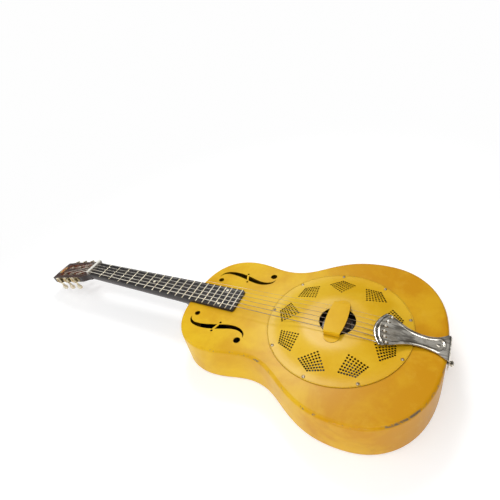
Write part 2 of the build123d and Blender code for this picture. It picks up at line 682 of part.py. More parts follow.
def neck_section(x, half_width, depth):
    """The neck cut across at x: flat under the board, round below."""
    edge = (x, half_width, TOP_Z)
    other = (x, -half_width, TOP_Z)
    below = Spline(edge, (x, 0, TOP_Z - depth), other, tangents=[(0, 0, -1), (0, 0, 1)])
    return make_face([below, Line(edge, other)])


def heel_section(z):
    """The heel cut level at z: it grows out of the neck's underside and narrows towards the back."""
    low = TOP_Z - HEEL_DEPTH
    part = (z - low) / (TOP_Z - low)
    reach = HEEL_REACH[0] + (HEEL_REACH[1] - HEEL_REACH[0]) * part ** 3
    half_width = HEEL_HALF_WIDTH[0] + (HEEL_HALF_WIDTH[1] - HEEL_HALF_WIDTH[0]) * part
    back = BODY_FRONT_X + 6
    edge = (back, half_width, z)
    other = (back, -half_width, z)
    front = Spline(edge, (BODY_FRONT_X - reach, 0, z), other, tangents=[(-1, 0, 0), (1, 0, 0)])
    return make_face([front, Line(edge, other)])


def head_plan():
    """The headstock's face: it widens from the nut and ends square."""
    start = NUT_HALF_WIDTH + 0.4
    wide = HEAD_HALF_WIDTH
    tip = HEAD_LENGTH
    inner = HEAD_CORNER * (1 - math.sqrt(0.5))
    side = Spline((-4, start), (6, start + 0.6), (HEAD_SHOULDER - 10, wide - 0.5), (HEAD_SHOULDER, wide),
                  tangents=[(1, 0), (1, 0)])
    edge = Line((HEAD_SHOULDER, wide), (tip - HEAD_CORNER, wide))
    corner = ThreePointArc((tip - HEAD_CORNER, wide), (tip - inner, wide - inner), (tip, wide - HEAD_CORNER))
    half = [side, edge, corner]
    crown = ThreePointArc((tip, wide - HEAD_CORNER), (tip + HEAD_CROWN, 0), (tip, HEAD_CORNER - wide))
    foot = Line((-4, start), (-4, -start))
    return make_face(half + [mirror(curve, about=Plane.XZ) for curve in half] + [crown, foot])


def tuner_places():
    """String number, distance along the headstock and side (1 bass, -1 treble) of each tuner."""
    places = []
    for number in STRINGS:
        bass = number > 3
        rank = 6 - number if bass else number - 1
        places.append((number, FIRST_TUNER + TUNER_SPACING * rank, 1 if bass else -1))
    return places


def headstock():
    """The slotted headstock, drilled for the rollers, in its own axes."""
    head = extrude(head_plan(), -HEAD_THICKNESS)
    length = SLOT_END - SLOT_START
    width = SLOT_OUTER_Y - SLOT_INNER_Y
    slot = extrude(RectangleRounded(length, width, SLOT_CORNER), HEAD_THICKNESS + 4, both=True)
    for side in (1, -1):
        head -= Pos((SLOT_START + SLOT_END) / 2, side * (SLOT_OUTER_Y + SLOT_INNER_Y) / 2) * slot
    for _, distance, side in tuner_places():
        bore_start = SLOT_INNER_Y - 3.2
        bore = Pos(distance, side * (bore_start + 20), -ROLLER_DEPTH) * Rot(90, 0, 0)
        head -= bore * Cylinder(ROLLER_RADIUS + RUNNING, 40)
    for distance, depth, side in plate_screw_places():
        screw_hole = Pos(distance, side * HEAD_HALF_WIDTH, depth) * Rot(90, 0, 0)
        head -= screw_hole * Cylinder(PLATE_SCREW_RADIUS + RUNNING, 14)
    return head


def neck():
    """One piece of mahogany: headstock, shaft, and a heel against the body's shoulder."""
    nut_end = NUT_X - NUT_THICKNESS - 1
    body_end = BODY_FRONT_X + 6
    shaft = loft([
        neck_section(nut_end, board_half_width(nut_end), NECK_DEPTH_NUT),
        neck_section(body_end, board_half_width(body_end), NECK_DEPTH_HEEL),
    ])
    levels = 6
    step = (HEEL_DEPTH - 6) / (levels - 1)
    shaft += loft([heel_section(TOP_Z - HEEL_DEPTH + step * level) for level in range(levels)])
    shaft -= extrude(Pos(0, 0, -10) * body_face(-0.1), BODY_DEPTH + 20)
    whole = shaft + HEAD * headstock()
    above = block((NUT_X - NUT_THICKNESS, BODY_FRONT_X + 10), (-60, 60), (TOP_Z, TOP_Z + 20))
    return whole - above


def neck_stick():
    """The stick from the heel to the tail block, raised under the board's end to take its screws."""
    stick = block((BODY_FRONT_X + 1.5, TAIL_BLOCK_X), (-STICK_HALF_WIDTH, STICK_HALF_WIDTH),
                  (STICK_BOTTOM_Z, STICK_TOP_Z))
    stick += block((BODY_FRONT_X + 8, BOARD_END_X - 8), (-STICK_HEAD_HALF_WIDTH, STICK_HEAD_HALF_WIDTH),
                   (STICK_TOP_Z, TOP_Z - SHEET))
    for x, y in neck_screw_places():
        stick -= hole(x, y, TOP_Z - 26, TOP_Z, NECK_SCREW_RADIUS + RUNNING)
    return stick


def support_blocks():
    """Turned discs that hold the stick off the back."""
    return group([hole(x, 0, SHEET, STICK_BOTTOM_Z, 18.0) for x in (-150, -20, 110)])


def tail_block():
    """The block inside the tail that the stick and the end pin land in."""
    blank = block((TAIL_BLOCK_X, BODY_TAIL_X + 5), (-28, 28), (STICK_BOTTOM_Z, 62))
    inside = extrude(Pos(0, 0, 5) * body_face(SHEET + 0.1), BODY_DEPTH)
    pin_hole = Pos(BODY_TAIL_X, 0, END_PIN_Z) * Rot(0, 90, 0) * Cylinder(END_PIN_RADIUS + RUNNING, 50)
    return (blank & inside) - pin_hole


def dot_places():
    """One dot in the middle of the 7th space, and one over each neck screw."""
    return [((fret_x(6) + fret_x(7)) / 2, 0)] + neck_screw_places()


def fretboard():
    """The tapered board with fret slots, pockets for the dots and counterbores for the screws."""
    end = board_half_width(BOARD_END_X)
    start = NUT_HALF_WIDTH
    corners = ((NUT_X, -start), (BOARD_END_X, -end), (BOARD_END_X, end), (NUT_X, start))
    plan = make_face(Polyline(*corners, close=True))
    board = extrude(Pos(0, 0, TOP_Z) * plan, BOARD_THICKNESS)
    board = fillet(board.edges().filter_by(Axis.Z).group_by(Axis.X)[-1], BOARD_CORNER)
    slot_half = FRET_TANG[0] / 2 + RUNNING
    slot_low = BOARD_TOP_Z - FRET_TANG[1] - 0.1
    for number in range(1, FRET_COUNT + 1):
        x = fret_x(number)
        board -= block((x - slot_half, x + slot_half), (-40, 40), (slot_low, BOARD_TOP_Z + 1))
    for x, y in dot_places():
        board -= hole(x, y, BOARD_TOP_Z - DOT_THICKNESS, BOARD_TOP_Z + 1, DOT_RADIUS + RUNNING)
    for x, y in neck_screw_places():
        head_radius, head_height = NECK_SCREW_HEAD
        seat = BOARD_TOP_Z - DOT_THICKNESS - head_height
        board -= hole(x, y, seat, BOARD_TOP_Z, head_radius + RUNNING)
        board -= hole(x, y, TOP_Z - 1, seat + 1, NECK_SCREW_RADIUS + RUNNING)
    return board


def frets():
    """Nineteen fret wires: a round crown on the board and a tang in its slot."""
    half = FRET_WIDTH / 2
    thick, deep = FRET_TANG
    wires = []
    for number in range(1, FRET_COUNT + 1):
        x = fret_x(number)
        reach = board_half_width(x) - 0.3
        back_edge = (x - half, 0, BOARD_TOP_Z)
        front_edge = (x + half, 0, BOARD_TOP_Z)
        arch = ThreePointArc(back_edge, (x, 0, BOARD_TOP_Z + FRET_HEIGHT), front_edge)
        crown = make_face([arch, Line(back_edge, front_edge)])
        wire = extrude(crown, reach, both=True, dir=(0, 1, 0))
        tang = block((x - thick / 2, x + thick / 2), (-reach, reach),
                     (BOARD_TOP_Z - deep, BOARD_TOP_Z + 0.2))
        wires.append(wire + tang)
    return group(wires)


def nut():
    """The old bone nut, rounded on its back edge; its notches are empty under the riser."""
    middle = NUT_X - NUT_THICKNESS / 2
    high = TOP_Z + NUT_HEIGHT
    bar = block((NUT_X - NUT_THICKNESS, NUT_X), (-NUT_HALF_WIDTH, NUT_HALF_WIDTH), (TOP_Z, high))
    bar = fillet(bar.edges().filter_by(Axis.Y).group_by(Axis.X)[0].sort_by(Axis.Z)[-1:], 1.8)
    notch_z = NUT_HEIGHT - 0.5
    return bar - [string_notch(number, middle, NUT_SPREAD, notch_z, NUT_THICKNESS) for number in STRINGS]


def nut_riser():
    """The raised nut that straddles the old one and lifts the strings for a slide."""
    front = NUT_X + RISER_WALL
    back = NUT_X - NUT_THICKNESS - RISER_WALL
    nut_back = NUT_X - NUT_THICKNESS
    crest = TOP_Z + RISER_STRING_Z + 0.4
    end_on = make_face(Polyline(
        (front, 0, BOARD_TOP_Z), (front, 0, crest - 3), (NUT_X - 1, 0, crest), (nut_back + 0.6, 0, crest),
        (back, 0, crest - 5), (back, 0, TOP_Z + HEAD_RISE), (nut_back, 0, TOP_Z + HEAD_RISE),
        (NUT_X, 0, BOARD_TOP_Z), close=True,
    ))
    bar = extrude(end_on, RISER_HALF_WIDTH, both=True, dir=(0, 1, 0))
    bar -= block((nut_back - RUNNING, NUT_X + RUNNING), (-NUT_HALF_WIDTH - 2, NUT_HALF_WIDTH + 2),
                 (TOP_Z, TOP_Z + NUT_HEIGHT + RUNNING))
    middle = (front + back) / 2
    long = front - back
    return bar - [string_notch(number, middle, RISER_SPREAD, RISER_STRING_Z, long) for number in STRINGS]


def position_dots():
    """Pearl dots let in flush with the board."""
    return group([hole(x, y, BOARD_TOP_Z - DOT_THICKNESS, BOARD_TOP_Z, DOT_RADIUS) for x, y in dot_places()])


def neck_screws():
    """The two screws that hold the board's end and the top to the stick."""
    head_radius, head_height = NECK_SCREW_HEAD
    seat = BOARD_TOP_Z - DOT_THICKNESS - head_height
    screws = []
    for x, y in neck_screw_places():
        head = hole(x, y, seat, seat + head_height - 0.1, head_radius)
        screws.append(head + hole(x, y, TOP_Z - 25, seat, NECK_SCREW_RADIUS))
    return group(screws)


# ---------------------------------------------------------------- tuners

def plate_screw_places():
    """Distance along the headstock, depth and side of the four screws of each plate."""
    distances = (PLATE_START + 5, FIRST_TUNER + 16.5, FIRST_TUNER + TUNER_SPACING + 16.5, PLATE_END - 5)
    return [(distance, -ROLLER_DEPTH, side) for side in (1, -1) for distance in distances]


def tuner_plate():
    """The bass side's strip plate with its bent lugs, in the headstock's axes."""
    middle_x = (PLATE_START + PLATE_END) / 2
    middle_z = (PLATE_TOP + PLATE_BOTTOM) / 2
    outer_y = PLATE_Y + PLATE_THICKNESS
    strip = extrude(SlotOverall(PLATE_END - PLATE_START, PLATE_TOP - PLATE_BOTTOM), PLATE_THICKNESS)
    strip = Pos(middle_x, outer_y, middle_z) * Rot(90, 0, 0) * strip
    for _, distance, side in tuner_places():
        if side < 0:
            continue
        worm_x = distance - WORM_OFFSET
        for low in (LUG_GAP_TOP, LUG_GAP_BOTTOM - LUG_THICKNESS):
            lug = block((worm_x - LUG_HALF_WIDTH, worm_x + LUG_HALF_WIDTH), (outer_y - 0.5, GEAR_Y),
                        (low, low + LUG_THICKNESS))
            lug += hole(worm_x, GEAR_Y, low, low + LUG_THICKNESS, LUG_HALF_WIDTH)
            bore = hole(worm_x, GEAR_Y, low - 1, low + LUG_THICKNESS + 1, WORM_SHAFT_RADIUS + RUNNING)
            strip += lug - bore
        strip -= Pos(distance, outer_y, -ROLLER_DEPTH) * Rot(90, 0, 0) * Cylinder(ROLLER_RADIUS + RUNNING, 6)
    for distance, depth, side in plate_screw_places():
        if side > 0:
            screw_hole = Cylinder(PLATE_SCREW_RADIUS + RUNNING, 6)
            strip -= Pos(distance, outer_y, depth) * Rot(90, 0, 0) * screw_hole
    return strip


def tuner_plate_screws():
    """Eight small screws, four in each plate."""
    screw = Rot(-90, 0, 0) * round_head_screw(*PLATE_SCREW_HEAD, PLATE_SCREW_RADIUS, 7)
    bass = [
        Pos(distance, PLATE_Y + PLATE_THICKNESS, depth) * screw
        for distance, depth, side in plate_screw_places() if side > 0
    ]
    bass = [HEAD * one for one in bass]
    return group(bass + [mirror(one, about=Plane.XZ) for one in bass])


def worm_shaft():
    """The worm on its shaft, upright, with the worm's middle at the origin."""
    thread_length = WORM_TURNS * THREAD_PITCH
    root = WORM_PITCH_RADIUS - 0.6
    tip = WORM_PITCH_RADIUS + 0.5
    path = Helix(THREAD_PITCH, thread_length, root)
    sunk = root - 0.3
    corners = ((sunk, 0, -0.65), (tip, 0, -0.3), (tip, 0, 0.3), (sunk, 0, 0.65))
    ridge = sweep(make_face(Polyline(*corners, close=True)), path=path, is_frenet=True)
    worm_reach = thread_length / 2 + 0.7
    core = hole(0, 0, -worm_reach, worm_reach, root)
    top = ROLLER_DEPTH + PLATE_TOP + 0.9
    shaft = hole(0, 0, -SHAFT_REACH, top, WORM_SHAFT_RADIUS)
    tang_radius, tang_length = BUTTON_TANG
    tang = hole(0, 0, -SHAFT_REACH - tang_length, -SHAFT_REACH, tang_radius)
    return Pos(0, 0, -thread_length / 2) * Rot(0, 0, 180) * ridge + core + shaft + tang


def button():
    """The oval button, with its collar, below the worm shaft."""
    tang_radius, tang_length = BUTTON_TANG
    oval = extrude(Ellipse(BUTTON_WIDTH / 2, BUTTON_HEIGHT / 2), BUTTON_THICKNESS / 2, both=True)
    oval = fillet(oval.edges(), 0.37 * BUTTON_THICKNESS)
    top = -SHAFT_REACH
    oval = Pos(0, 0, top - 3 - BUTTON_HEIGHT / 2) * Rot(90, 0, 0) * oval
    collar = hole(0, 0, top - 6, top, 3.0)
    return oval + collar - hole(0, 0, top - tang_length - 0.1, top + 1, tang_radius + RUNNING)


def gear():
    """The wheel on the roller's end and the screw through it; the wheel's middle is the origin."""
    root = GEAR_PITCH_RADIUS - 0.8
    tip = GEAR_PITCH_RADIUS + 0.7
    tooth = make_face(Polyline((root - 0.5, -0.75), (tip, -0.3), (tip, 0.3), (root - 0.5, 0.75), close=True))
    wheel = Circle(root)
    for number in range(GEAR_TEETH):
        wheel += Rot(0, 0, 360 * (number + 0.5) / GEAR_TEETH) * tooth
    wheel = extrude(wheel, GEAR_THICKNESS / 2, both=True)
    wheel -= hole(0, 0, -5, 5, GEAR_SCREW_RADIUS + RUNNING)
    screw = round_head_screw(*GEAR_SCREW_HEAD, GEAR_SCREW_RADIUS, GEAR_THICKNESS + 3)
    screw = Pos(0, 0, GEAR_THICKNESS / 2) * screw
    upright = Rot(-90, 0, 0)
    return group([upright * wheel, upright * screw])


def roller():
    """The roller across the slot, from the rib to the wheel, along y; y = 0 is the head's middle."""
    start = SLOT_INNER_Y - 3.0
    end = GEAR_Y - GEAR_THICKNESS / 2 - 0.05
    core = Pos(0, (start + end) / 2, 0) * Rot(90, 0, 0) * Cylinder(ROLLER_RADIUS, end - start)
    sleeve_start = SLOT_INNER_Y + 0.5
    sleeve_end = SLOT_OUTER_Y - 0.5
    sleeve = Pos(0, (sleeve_start + sleeve_end) / 2, 0) * Rot(90, 0, 0)
    core += sleeve * Cylinder(SLEEVE_RADIUS, sleeve_end - sleeve_start)
    return core - Pos(0, end, 0) * Rot(90, 0, 0) * Cylinder(GEAR_SCREW_RADIUS + RUNNING, 7)


def winding_y(number):
    """Where a string lands on its roller: the outer strings land further out."""
    return {3: 10.5, 2: 13.5, 1: 16.5}[min(number, 7 - number)]


def string_winding(number):
    """The turns of string round the roller, along y; y = 0 is the head's middle."""
    radius = STRING_RADII[number - 1]
    inner = SLEEVE_RADIUS + 0.03
    centre_y = winding_y(number)
    section = Pos(inner + 0.6 * radius, centre_y) * Rectangle(1.2 * radius, 2 * radius * WINDING_TURNS)
    for turn in range(WINDING_TURNS):
        y = centre_y + 2 * radius * (turn - (WINDING_TURNS - 1) / 2)
        section += Pos(inner + radius, y) * Circle(radius)
    return revolve(section, Axis.Y)


def on_tuner(shape, distance, side, offset_x=0.0, offset_y=0.0):
    """A tuner piece placed on the headstock; the treble side mirrors the bass side."""
    placed = HEAD * (Pos(distance + offset_x, offset_y, -ROLLER_DEPTH) * shape)
    return placed if side > 0 else mirror(placed, about=Plane.XZ)


# ---------------------------------------------------------------- strings

def standing_end(number):
    """Where a string touches its roller's turns, and the middle and the end of its arc over them."""
    _, distance, side = tuner_places()[number - 1]
    radius = STRING_RADII[number - 1]
    arc_radius = SLEEVE_RADIUS + 0.03 + 3 * radius + WINDING_CLEARANCE
    nut_point = HEAD.to_local_coords(Vector(NUT_X - NUT_THICKNESS, 0, TOP_Z + RISER_STRING_Z))
    away_x = nut_point.X - distance
    away_z = nut_point.Z + ROLLER_DEPTH
    touch = math.atan2(away_z, away_x) - math.acos(arc_radius / math.hypot(away_x, away_z))
    places = []
    for part in (0, 0.5, 1):
        angle = touch - part * math.radians(WRAP_ANGLE)
        local = Vector(distance + arc_radius * math.cos(angle), side * winding_y(number),
                       -ROLLER_DEPTH + arc_radius * math.sin(angle))
        places.append(HEAD.from_local_coords(local))
    return places


def whole_string(number):
    """One string: ball end, rise through the tailpiece, saddle, nut, and the arc over its roller."""
    radius = STRING_RADII[number - 1]
    hole_x, hole_y = tail_holes()[number - 1]
    ball = Vector(hole_x, hole_y, deck_z(hole_x - BALL_RADIUS) + BALL_RADIUS + 0.1)
    touch, over, end = standing_end(number)
    bends = [
        ball,
        Vector(hole_x, hole_y, TOP_Z + TAIL_STRING_Z),
        Vector(0, string_y(number, SADDLE_SPREAD), TOP_Z + SADDLE_STRING_Z),
        Vector(NUT_X - NUT_THICKNESS, string_y(number, RISER_SPREAD), TOP_Z + RISER_STRING_Z),
        touch,
    ]
    wire = Pos(*ball) * Rot(90, 0, 0) * Cylinder(BALL_RADIUS, BALL_LENGTH)
    for start, stop in zip(bends, bends[1:]):
        wire += rod(start, stop, radius) + Pos(*stop) * Sphere(KNUCKLE * radius)
    return wire + arc_rod(touch, over, end, radius)


# ---------------------------------------------------------------- nodes

def nodes():
    """Every node's name and shape."""
    parts = {
        "top_plate": top_plate(),
        "side_band": side_band(),
        "back_plate": back_plate(),
        "sound_well": sound_well(),
        "resonator_cone": resonator_cone(),
        "biscuit": biscuit(),
        "saddle": saddle(),
        "biscuit_screw": biscuit_screw(),
        "cover_plate": cover_plate(),
        "palm_rest": palm_rest(),
        "cover_screws": cover_screws(),
        "tailpiece": tailpiece(),
        "tailpiece_screw": tailpiece_screw(),
        "end_pin": end_pin(),
        "neck": neck(),
        "neck_stick": neck_stick(),
        "support_blocks": support_blocks(),
        "tail_block": tail_block(),
        "fretboard": fretboard(),
        "frets": frets(),
        "nut": nut(),
        "nut_riser": nut_riser(),
        "position_dots": position_dots(),
        "neck_screws": neck_screws(),
        "plain_strings": group([whole_string(number) for number in STRINGS if number < WOUND_FROM]),
        "wound_strings": group([whole_string(number) for number in STRINGS if number >= WOUND_FROM]),
        "tuner_plate_bass": HEAD * tuner_plate(),
        "tuner_plate_treble": mirror(HEAD * tuner_plate(), about=Plane.XZ),
        "tuner_plate_screws": tuner_plate_screws(),
    }
    worm = worm_shaft()
    knob = button()
    wheel = gear()
    spool = roller()
    for number, distance, side in tuner_places():
        parts[f"worm_shaft_{number}"] = on_tuner(worm, distance, side, -WORM_OFFSET, GEAR_Y)
        parts[f"button_{number}"] = on_tuner(knob, distance, side, -WORM_OFFSET, GEAR_Y)
        parts[f"gear_{number}"] = on_tuner(wheel, distance, side, 0, GEAR_Y)
        parts[f"roller_{number}"] = on_tuner(spool, distance, side)
        parts[f"string_winding_{number}"] = on_tuner(string_winding(number), distance, side)
    return parts


os.makedirs("parts", exist_ok=True)
for name, shape in nodes().items():
    export_step(shape, f"parts/{name}.step")
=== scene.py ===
import json
import math

import bmesh
import bpy
from mathutils import Matrix, Vector
from mathutils.bvhtree import BVHTree


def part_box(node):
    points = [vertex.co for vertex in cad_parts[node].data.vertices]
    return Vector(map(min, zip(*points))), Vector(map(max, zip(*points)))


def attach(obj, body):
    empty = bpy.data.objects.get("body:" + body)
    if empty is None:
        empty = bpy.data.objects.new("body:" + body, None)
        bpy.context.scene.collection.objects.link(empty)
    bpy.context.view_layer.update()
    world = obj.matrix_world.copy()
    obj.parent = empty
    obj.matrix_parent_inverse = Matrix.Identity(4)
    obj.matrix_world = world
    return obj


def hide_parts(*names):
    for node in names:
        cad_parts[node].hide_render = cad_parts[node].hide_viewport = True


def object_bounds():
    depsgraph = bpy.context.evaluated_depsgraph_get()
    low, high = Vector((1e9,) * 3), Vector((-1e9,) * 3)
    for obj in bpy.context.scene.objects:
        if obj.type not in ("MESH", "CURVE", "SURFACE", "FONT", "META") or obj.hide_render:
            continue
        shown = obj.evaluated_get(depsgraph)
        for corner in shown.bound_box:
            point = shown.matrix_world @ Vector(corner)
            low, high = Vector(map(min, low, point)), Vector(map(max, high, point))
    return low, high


# The looks of the resonator guitar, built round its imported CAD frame.
# Metres, in the frame's own axes: +X to the tail, +Y to the treble side, +Z out of the top.
# Every CAD node gets a material from nodes; the tailpiece and the headstock's badge are modelled here.

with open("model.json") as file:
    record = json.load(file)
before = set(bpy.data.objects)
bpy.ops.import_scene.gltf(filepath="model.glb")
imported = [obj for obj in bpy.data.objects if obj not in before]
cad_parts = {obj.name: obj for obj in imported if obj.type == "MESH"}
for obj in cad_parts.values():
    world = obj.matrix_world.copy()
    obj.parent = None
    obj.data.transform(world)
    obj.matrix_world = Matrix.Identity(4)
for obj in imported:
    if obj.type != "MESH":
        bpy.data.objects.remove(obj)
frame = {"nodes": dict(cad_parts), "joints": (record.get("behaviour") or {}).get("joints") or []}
cad_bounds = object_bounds()
nodes = frame["nodes"]
MM = 0.001


# ---------------------------------------------------------------- places read from the frame

TOP_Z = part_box("top_plate")[1].z
BOARD_END_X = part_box("fretboard")[1].x
NUT_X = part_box("nut")[0].x
RISER_TOP_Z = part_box("nut_riser")[1].z
tail_low, tail_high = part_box("tailpiece")
pin_low, pin_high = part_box("end_pin")
screw_low, screw_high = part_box("tailpiece_screw")

worm_axis = next(joint["axis"] for joint in frame["joints"] if joint["name"] == "button_turn_1")
HEAD_OUT = Vector(worm_axis).normalized()
HEAD_ALONG = Vector((-HEAD_OUT.z, 0, HEAD_OUT.x))
HEAD_ORIGIN = Vector((NUT_X, 0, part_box("neck")[1].z))


def on_head(along, across):
    """A place on the headstock's face, from the nut towards the tip."""
    return HEAD_ORIGIN + HEAD_ALONG * along + Vector((0, across, 0))


# ---------------------------------------------------------------- material kit

class Shader:
    """A Principled material and short ways to wire procedural nodes into it."""

    def __init__(self, name, metallic=0.0, coat=0.0, coat_rough=0.1):
        self.material = bpy.data.materials.new(name)
        self.material.use_nodes = True
        self.tree = self.material.node_tree
        self.surface = self.tree.nodes["Principled BSDF"]
        self.set("Metallic", metallic)
        self.set("Coat Weight", coat)
        self.set("Coat Roughness", coat_rough)
        self.place = self.add("TexCoord").outputs["Object"]

    def put(self, socket, value):
        """Links a socket, or sets a plain value."""
        if isinstance(value, bpy.types.NodeSocket):
            self.tree.links.new(value, socket)
        elif isinstance(value, tuple) and len(value) == 3 and socket.type == "RGBA":
            socket.default_value = (*value, 1.0)
        else:
            socket.default_value = value

    def add(self, kind, settings=None, **inputs):
        """A node with its settings and, by name, its inputs."""
        node = self.tree.nodes.new("ShaderNode" + kind)
        for key, value in (settings or {}).items():
            setattr(node, key, value)
        for key, value in inputs.items():
            self.put(node.inputs[key.replace("_", " ")], value)
        return node

    def set(self, name, value):
        self.put(self.surface.inputs[name], value)

    def stretched(self, x=1.0, y=1.0, z=1.0):
        """The object's own coordinates, scaled on each axis."""
        return self.add("Mapping", Vector=self.place, Scale=(x, y, z)).outputs["Vector"]

    def noise(self, scale, detail=4.0, rough=0.55, vector=None, distortion=0.0):
        node = self.add("TexNoise", Vector=vector or self.place, Scale=scale, Detail=detail,
                        Roughness=rough, Distortion=distortion)
        return node.outputs["Fac"]

    def steps(self, value, low, high, invert=False):
        """Value turned into 0 at low and 1 at high, or the other way round."""
        ends = (1.0, 0.0) if invert else (0.0, 1.0)
        node = self.tree.nodes.new("ShaderNodeMapRange")
        node.interpolation_type = "SMOOTHSTEP"
        self.put(node.inputs["Value"], value)
        self.put(node.inputs["From Min"], low)
        self.put(node.inputs["From Max"], high)
        self.put(node.inputs["To Min"], ends[0])
        self.put(node.inputs["To Max"], ends[1])
        return node.outputs["Result"]

    def spread(self, value, low, high):
        """A 0 to 1 value carried over to a range."""
        node = self.tree.nodes.new("ShaderNodeMapRange")
        self.put(node.inputs["Value"], value)
        self.put(node.inputs["To Min"], low)
        self.put(node.inputs["To Max"], high)
        return node.outputs["Result"]

    def maths(self, operation, first, second=0.0):
        node = self.tree.nodes.new("ShaderNodeMath")
        node.operation = operation
        self.put(node.inputs[0], first)
        self.put(node.inputs[1], second)
        return node.outputs[0]

    def mix(self, factor, first, second):
        node = self.tree.nodes.new("ShaderNodeMix")
        node.data_type = "RGBA"
        colours = [socket for socket in node.inputs if socket.type == "RGBA"]
        self.put(node.inputs["Factor"], factor)
        self.put(colours[0], first)
        self.put(colours[1], second)
        return [socket for socket in node.outputs if socket.type == "RGBA"][0]

    def axis(self, name):
        """One of the object's own coordinates."""
        split = self.tree.nodes.get("split")
        if split is None:
            split = self.add("SeparateXYZ", Vector=self.place)
            split.name = "split"
        return split.outputs[name]

    def facing(self, direction):
        """How squarely the surface faces a direction."""
        normal = self.add("NewGeometry").outputs["Normal"]
        dot = self.add("VectorMath", {"operation": "DOT_PRODUCT"})
        self.put(dot.inputs[0], normal)
        self.put(dot.inputs[1], tuple(direction))
        return dot.outputs["Value"]

    def crevice(self, distance):
        """Near 1 in corners and under edges, 0 in the open."""
        shade = self.add("AmbientOcclusion", {"samples": 4}, Distance=distance)
        return self.steps(shade.outputs["AO"], 0.45, 0.95, invert=True)

    def bump(self, height, strength, distance):
        node = self.add("Bump", Height=height, Strength=strength, Distance=distance)
        last = self.surface.inputs["Normal"].links
        if last:
            self.put(node.inputs["Normal"], last[0].from_socket)
        self.set("Normal", node.outputs["Normal"])


# ---------------------------------------------------------------- materials

BARE_METAL = (0.22, 0.17, 0.11)
INSIDE_SHADE = (0.030, 0.022, 0.014)
INSIDE_Z = (66 * MM, 60 * MM)               # upward faces below these heights are inside the shell
WORN_SPOT = (138 * MM, -147 * MM, 80 * MM)  # where the near bout's edge is rubbed most
WORN_REACH = (10 * MM, 42 * MM)             # distances from it at which the rubbing fades out
# dark brown of the grime specks, also used for painted shade in corners
GRIME_AND_SHADE = (0.10, 0.05, 0.008)


def gold_paint(name, light, deep, wear, shine):
    """Old golden lacquer on sheet metal: mottled, deepened towards the tail by painted shade, rubbed through
    on its edges.
    """
    s = Shader(name)
    s.set("Specular IOR Level", 0.05)
    clouds = s.maths("MULTIPLY", s.steps(s.noise(9.0, 6.0, 0.62, distortion=0.4), 0.35, 0.65), 0.6)
    # painted shade: the colour runs to the deep tone towards the tail, where less light falls
    tailward_shade = s.maths("MULTIPLY", s.steps(s.axis("X"), -0.20, 0.18), 0.6)
    colour = s.mix(s.maths("ADD", clouds, tailward_shade), light, deep)
    dust = s.steps(s.noise(38.0, 6.0, 0.7), 0.5, 0.75)
    colour = s.mix(s.spread(dust, 0.0, 0.18), colour, (0.82, 0.55, 0.06))
    stain = s.steps(s.noise(14.0, 8.0, 0.65, distortion=0.6), 0.60, 0.78)
    colour = s.mix(s.spread(stain, 0.0, 0.30), colour, (0.46, 0.21, 0.005))
    specks = s.steps(s.noise(420.0, 3.0, 0.6), 0.70, 0.78)
    colour = s.mix(s.spread(specks, 0.0, 0.4), colour, GRIME_AND_SHADE)
    # painted shade: corners and the paint under edges are darkened with the grime colour
    colour = s.mix(s.spread(s.crevice(3 * MM), 0.0, 0.6), colour, GRIME_AND_SHADE)

    tilt = s.facing((0, 0, 1))
    rounded = s.maths("MULTIPLY", s.steps(tilt, 0.30, 0.55), s.steps(tilt, 0.75, 0.95, invert=True))
    patches = s.steps(s.noise(70.0, 8.0, 0.75), wear, wear + 0.05)
    places = s.steps(s.noise(9.0, 2.0, 0.5), 0.5, 0.62)
    worn = s.maths("MULTIPLY", patches, places)
    near_bout = s.add("VectorMath", {"operation": "DISTANCE"})
    s.put(near_bout.inputs[0], s.place)
    s.put(near_bout.inputs[1], WORN_SPOT)
    rubbed = s.steps(near_bout.outputs["Value"], *WORN_REACH, invert=True)
    chance = s.maths("ADD", s.noise(130.0, 8.0, 0.75), s.maths("MULTIPLY", rubbed, 0.14))
    scrapes = s.steps(chance, 0.58, 0.61)
    worn = s.maths("MULTIPLY", rounded, s.maths("MAXIMUM", worn, scrapes))
    colour = s.mix(worn, colour, BARE_METAL)
    # painted shade: upward faces inside the shell are darkened to near black
    inside = s.maths("MULTIPLY", s.steps(s.axis("Z"), *INSIDE_Z), s.steps(tilt, 0.5, 0.9))
    colour = s.mix(inside, colour, INSIDE_SHADE)
    s.set("Base Color", colour)
    s.set("Metallic", s.spread(worn, 0.0, 0.6))
    s.set("Coat Weight", shine)
    s.set("Coat Roughness", s.spread(rounded, 0.27, 0.10))
    s.set("Roughness", s.spread(s.noise(60.0, 5.0, 0.7), 0.32, 0.5))
    s.bump(s.noise(900.0, 2.0, 0.5), 0.08, 0.3 * MM)
    s.bump(s.noise(24.0, 3.0, 0.5), 0.10, 2.0 * MM)
    s.bump(worn, 0.4, -0.1 * MM)
    return s.material


def aged_metal(name, clean, dull, rough, grain=(1.0, 1.0, 1.0), tarnish_and_reflection_streaks=0.2, dirt=0.6):
    """Plated or bare metal with a cloudy tarnish, streaks, fine scratches and dirt in its corners; strong
    streaks are painted reflection.
    """
    s = Shader(name, metallic=1.0)
    cloud = s.steps(s.noise(55.0, 6.0, 0.65), 0.35, 0.70)
    colour = s.mix(cloud, clean, dull)
    streak = s.steps(s.noise(110.0, 4.0, 0.6, s.stretched(*grain), 0.5), 0.44, 0.60)
    colour = s.mix(s.spread(streak, 0.0, tarnish_and_reflection_streaks), colour, tuple(0.3 * c for c in dull))
    colour = s.mix(s.spread(s.crevice(2.5 * MM), 0.0, dirt), colour, (0.04, 0.03, 0.02))
    s.set("Base Color", colour)
    scratch = s.noise(400.0, 4.0, 0.7, s.stretched(*grain))
    s.set("Roughness", s.maths("ADD", s.spread(scratch, -0.06, 0.10), s.spread(cloud, rough, rough + 0.14)))
    s.bump(scratch, 0.12, 0.15 * MM)
    return s.material


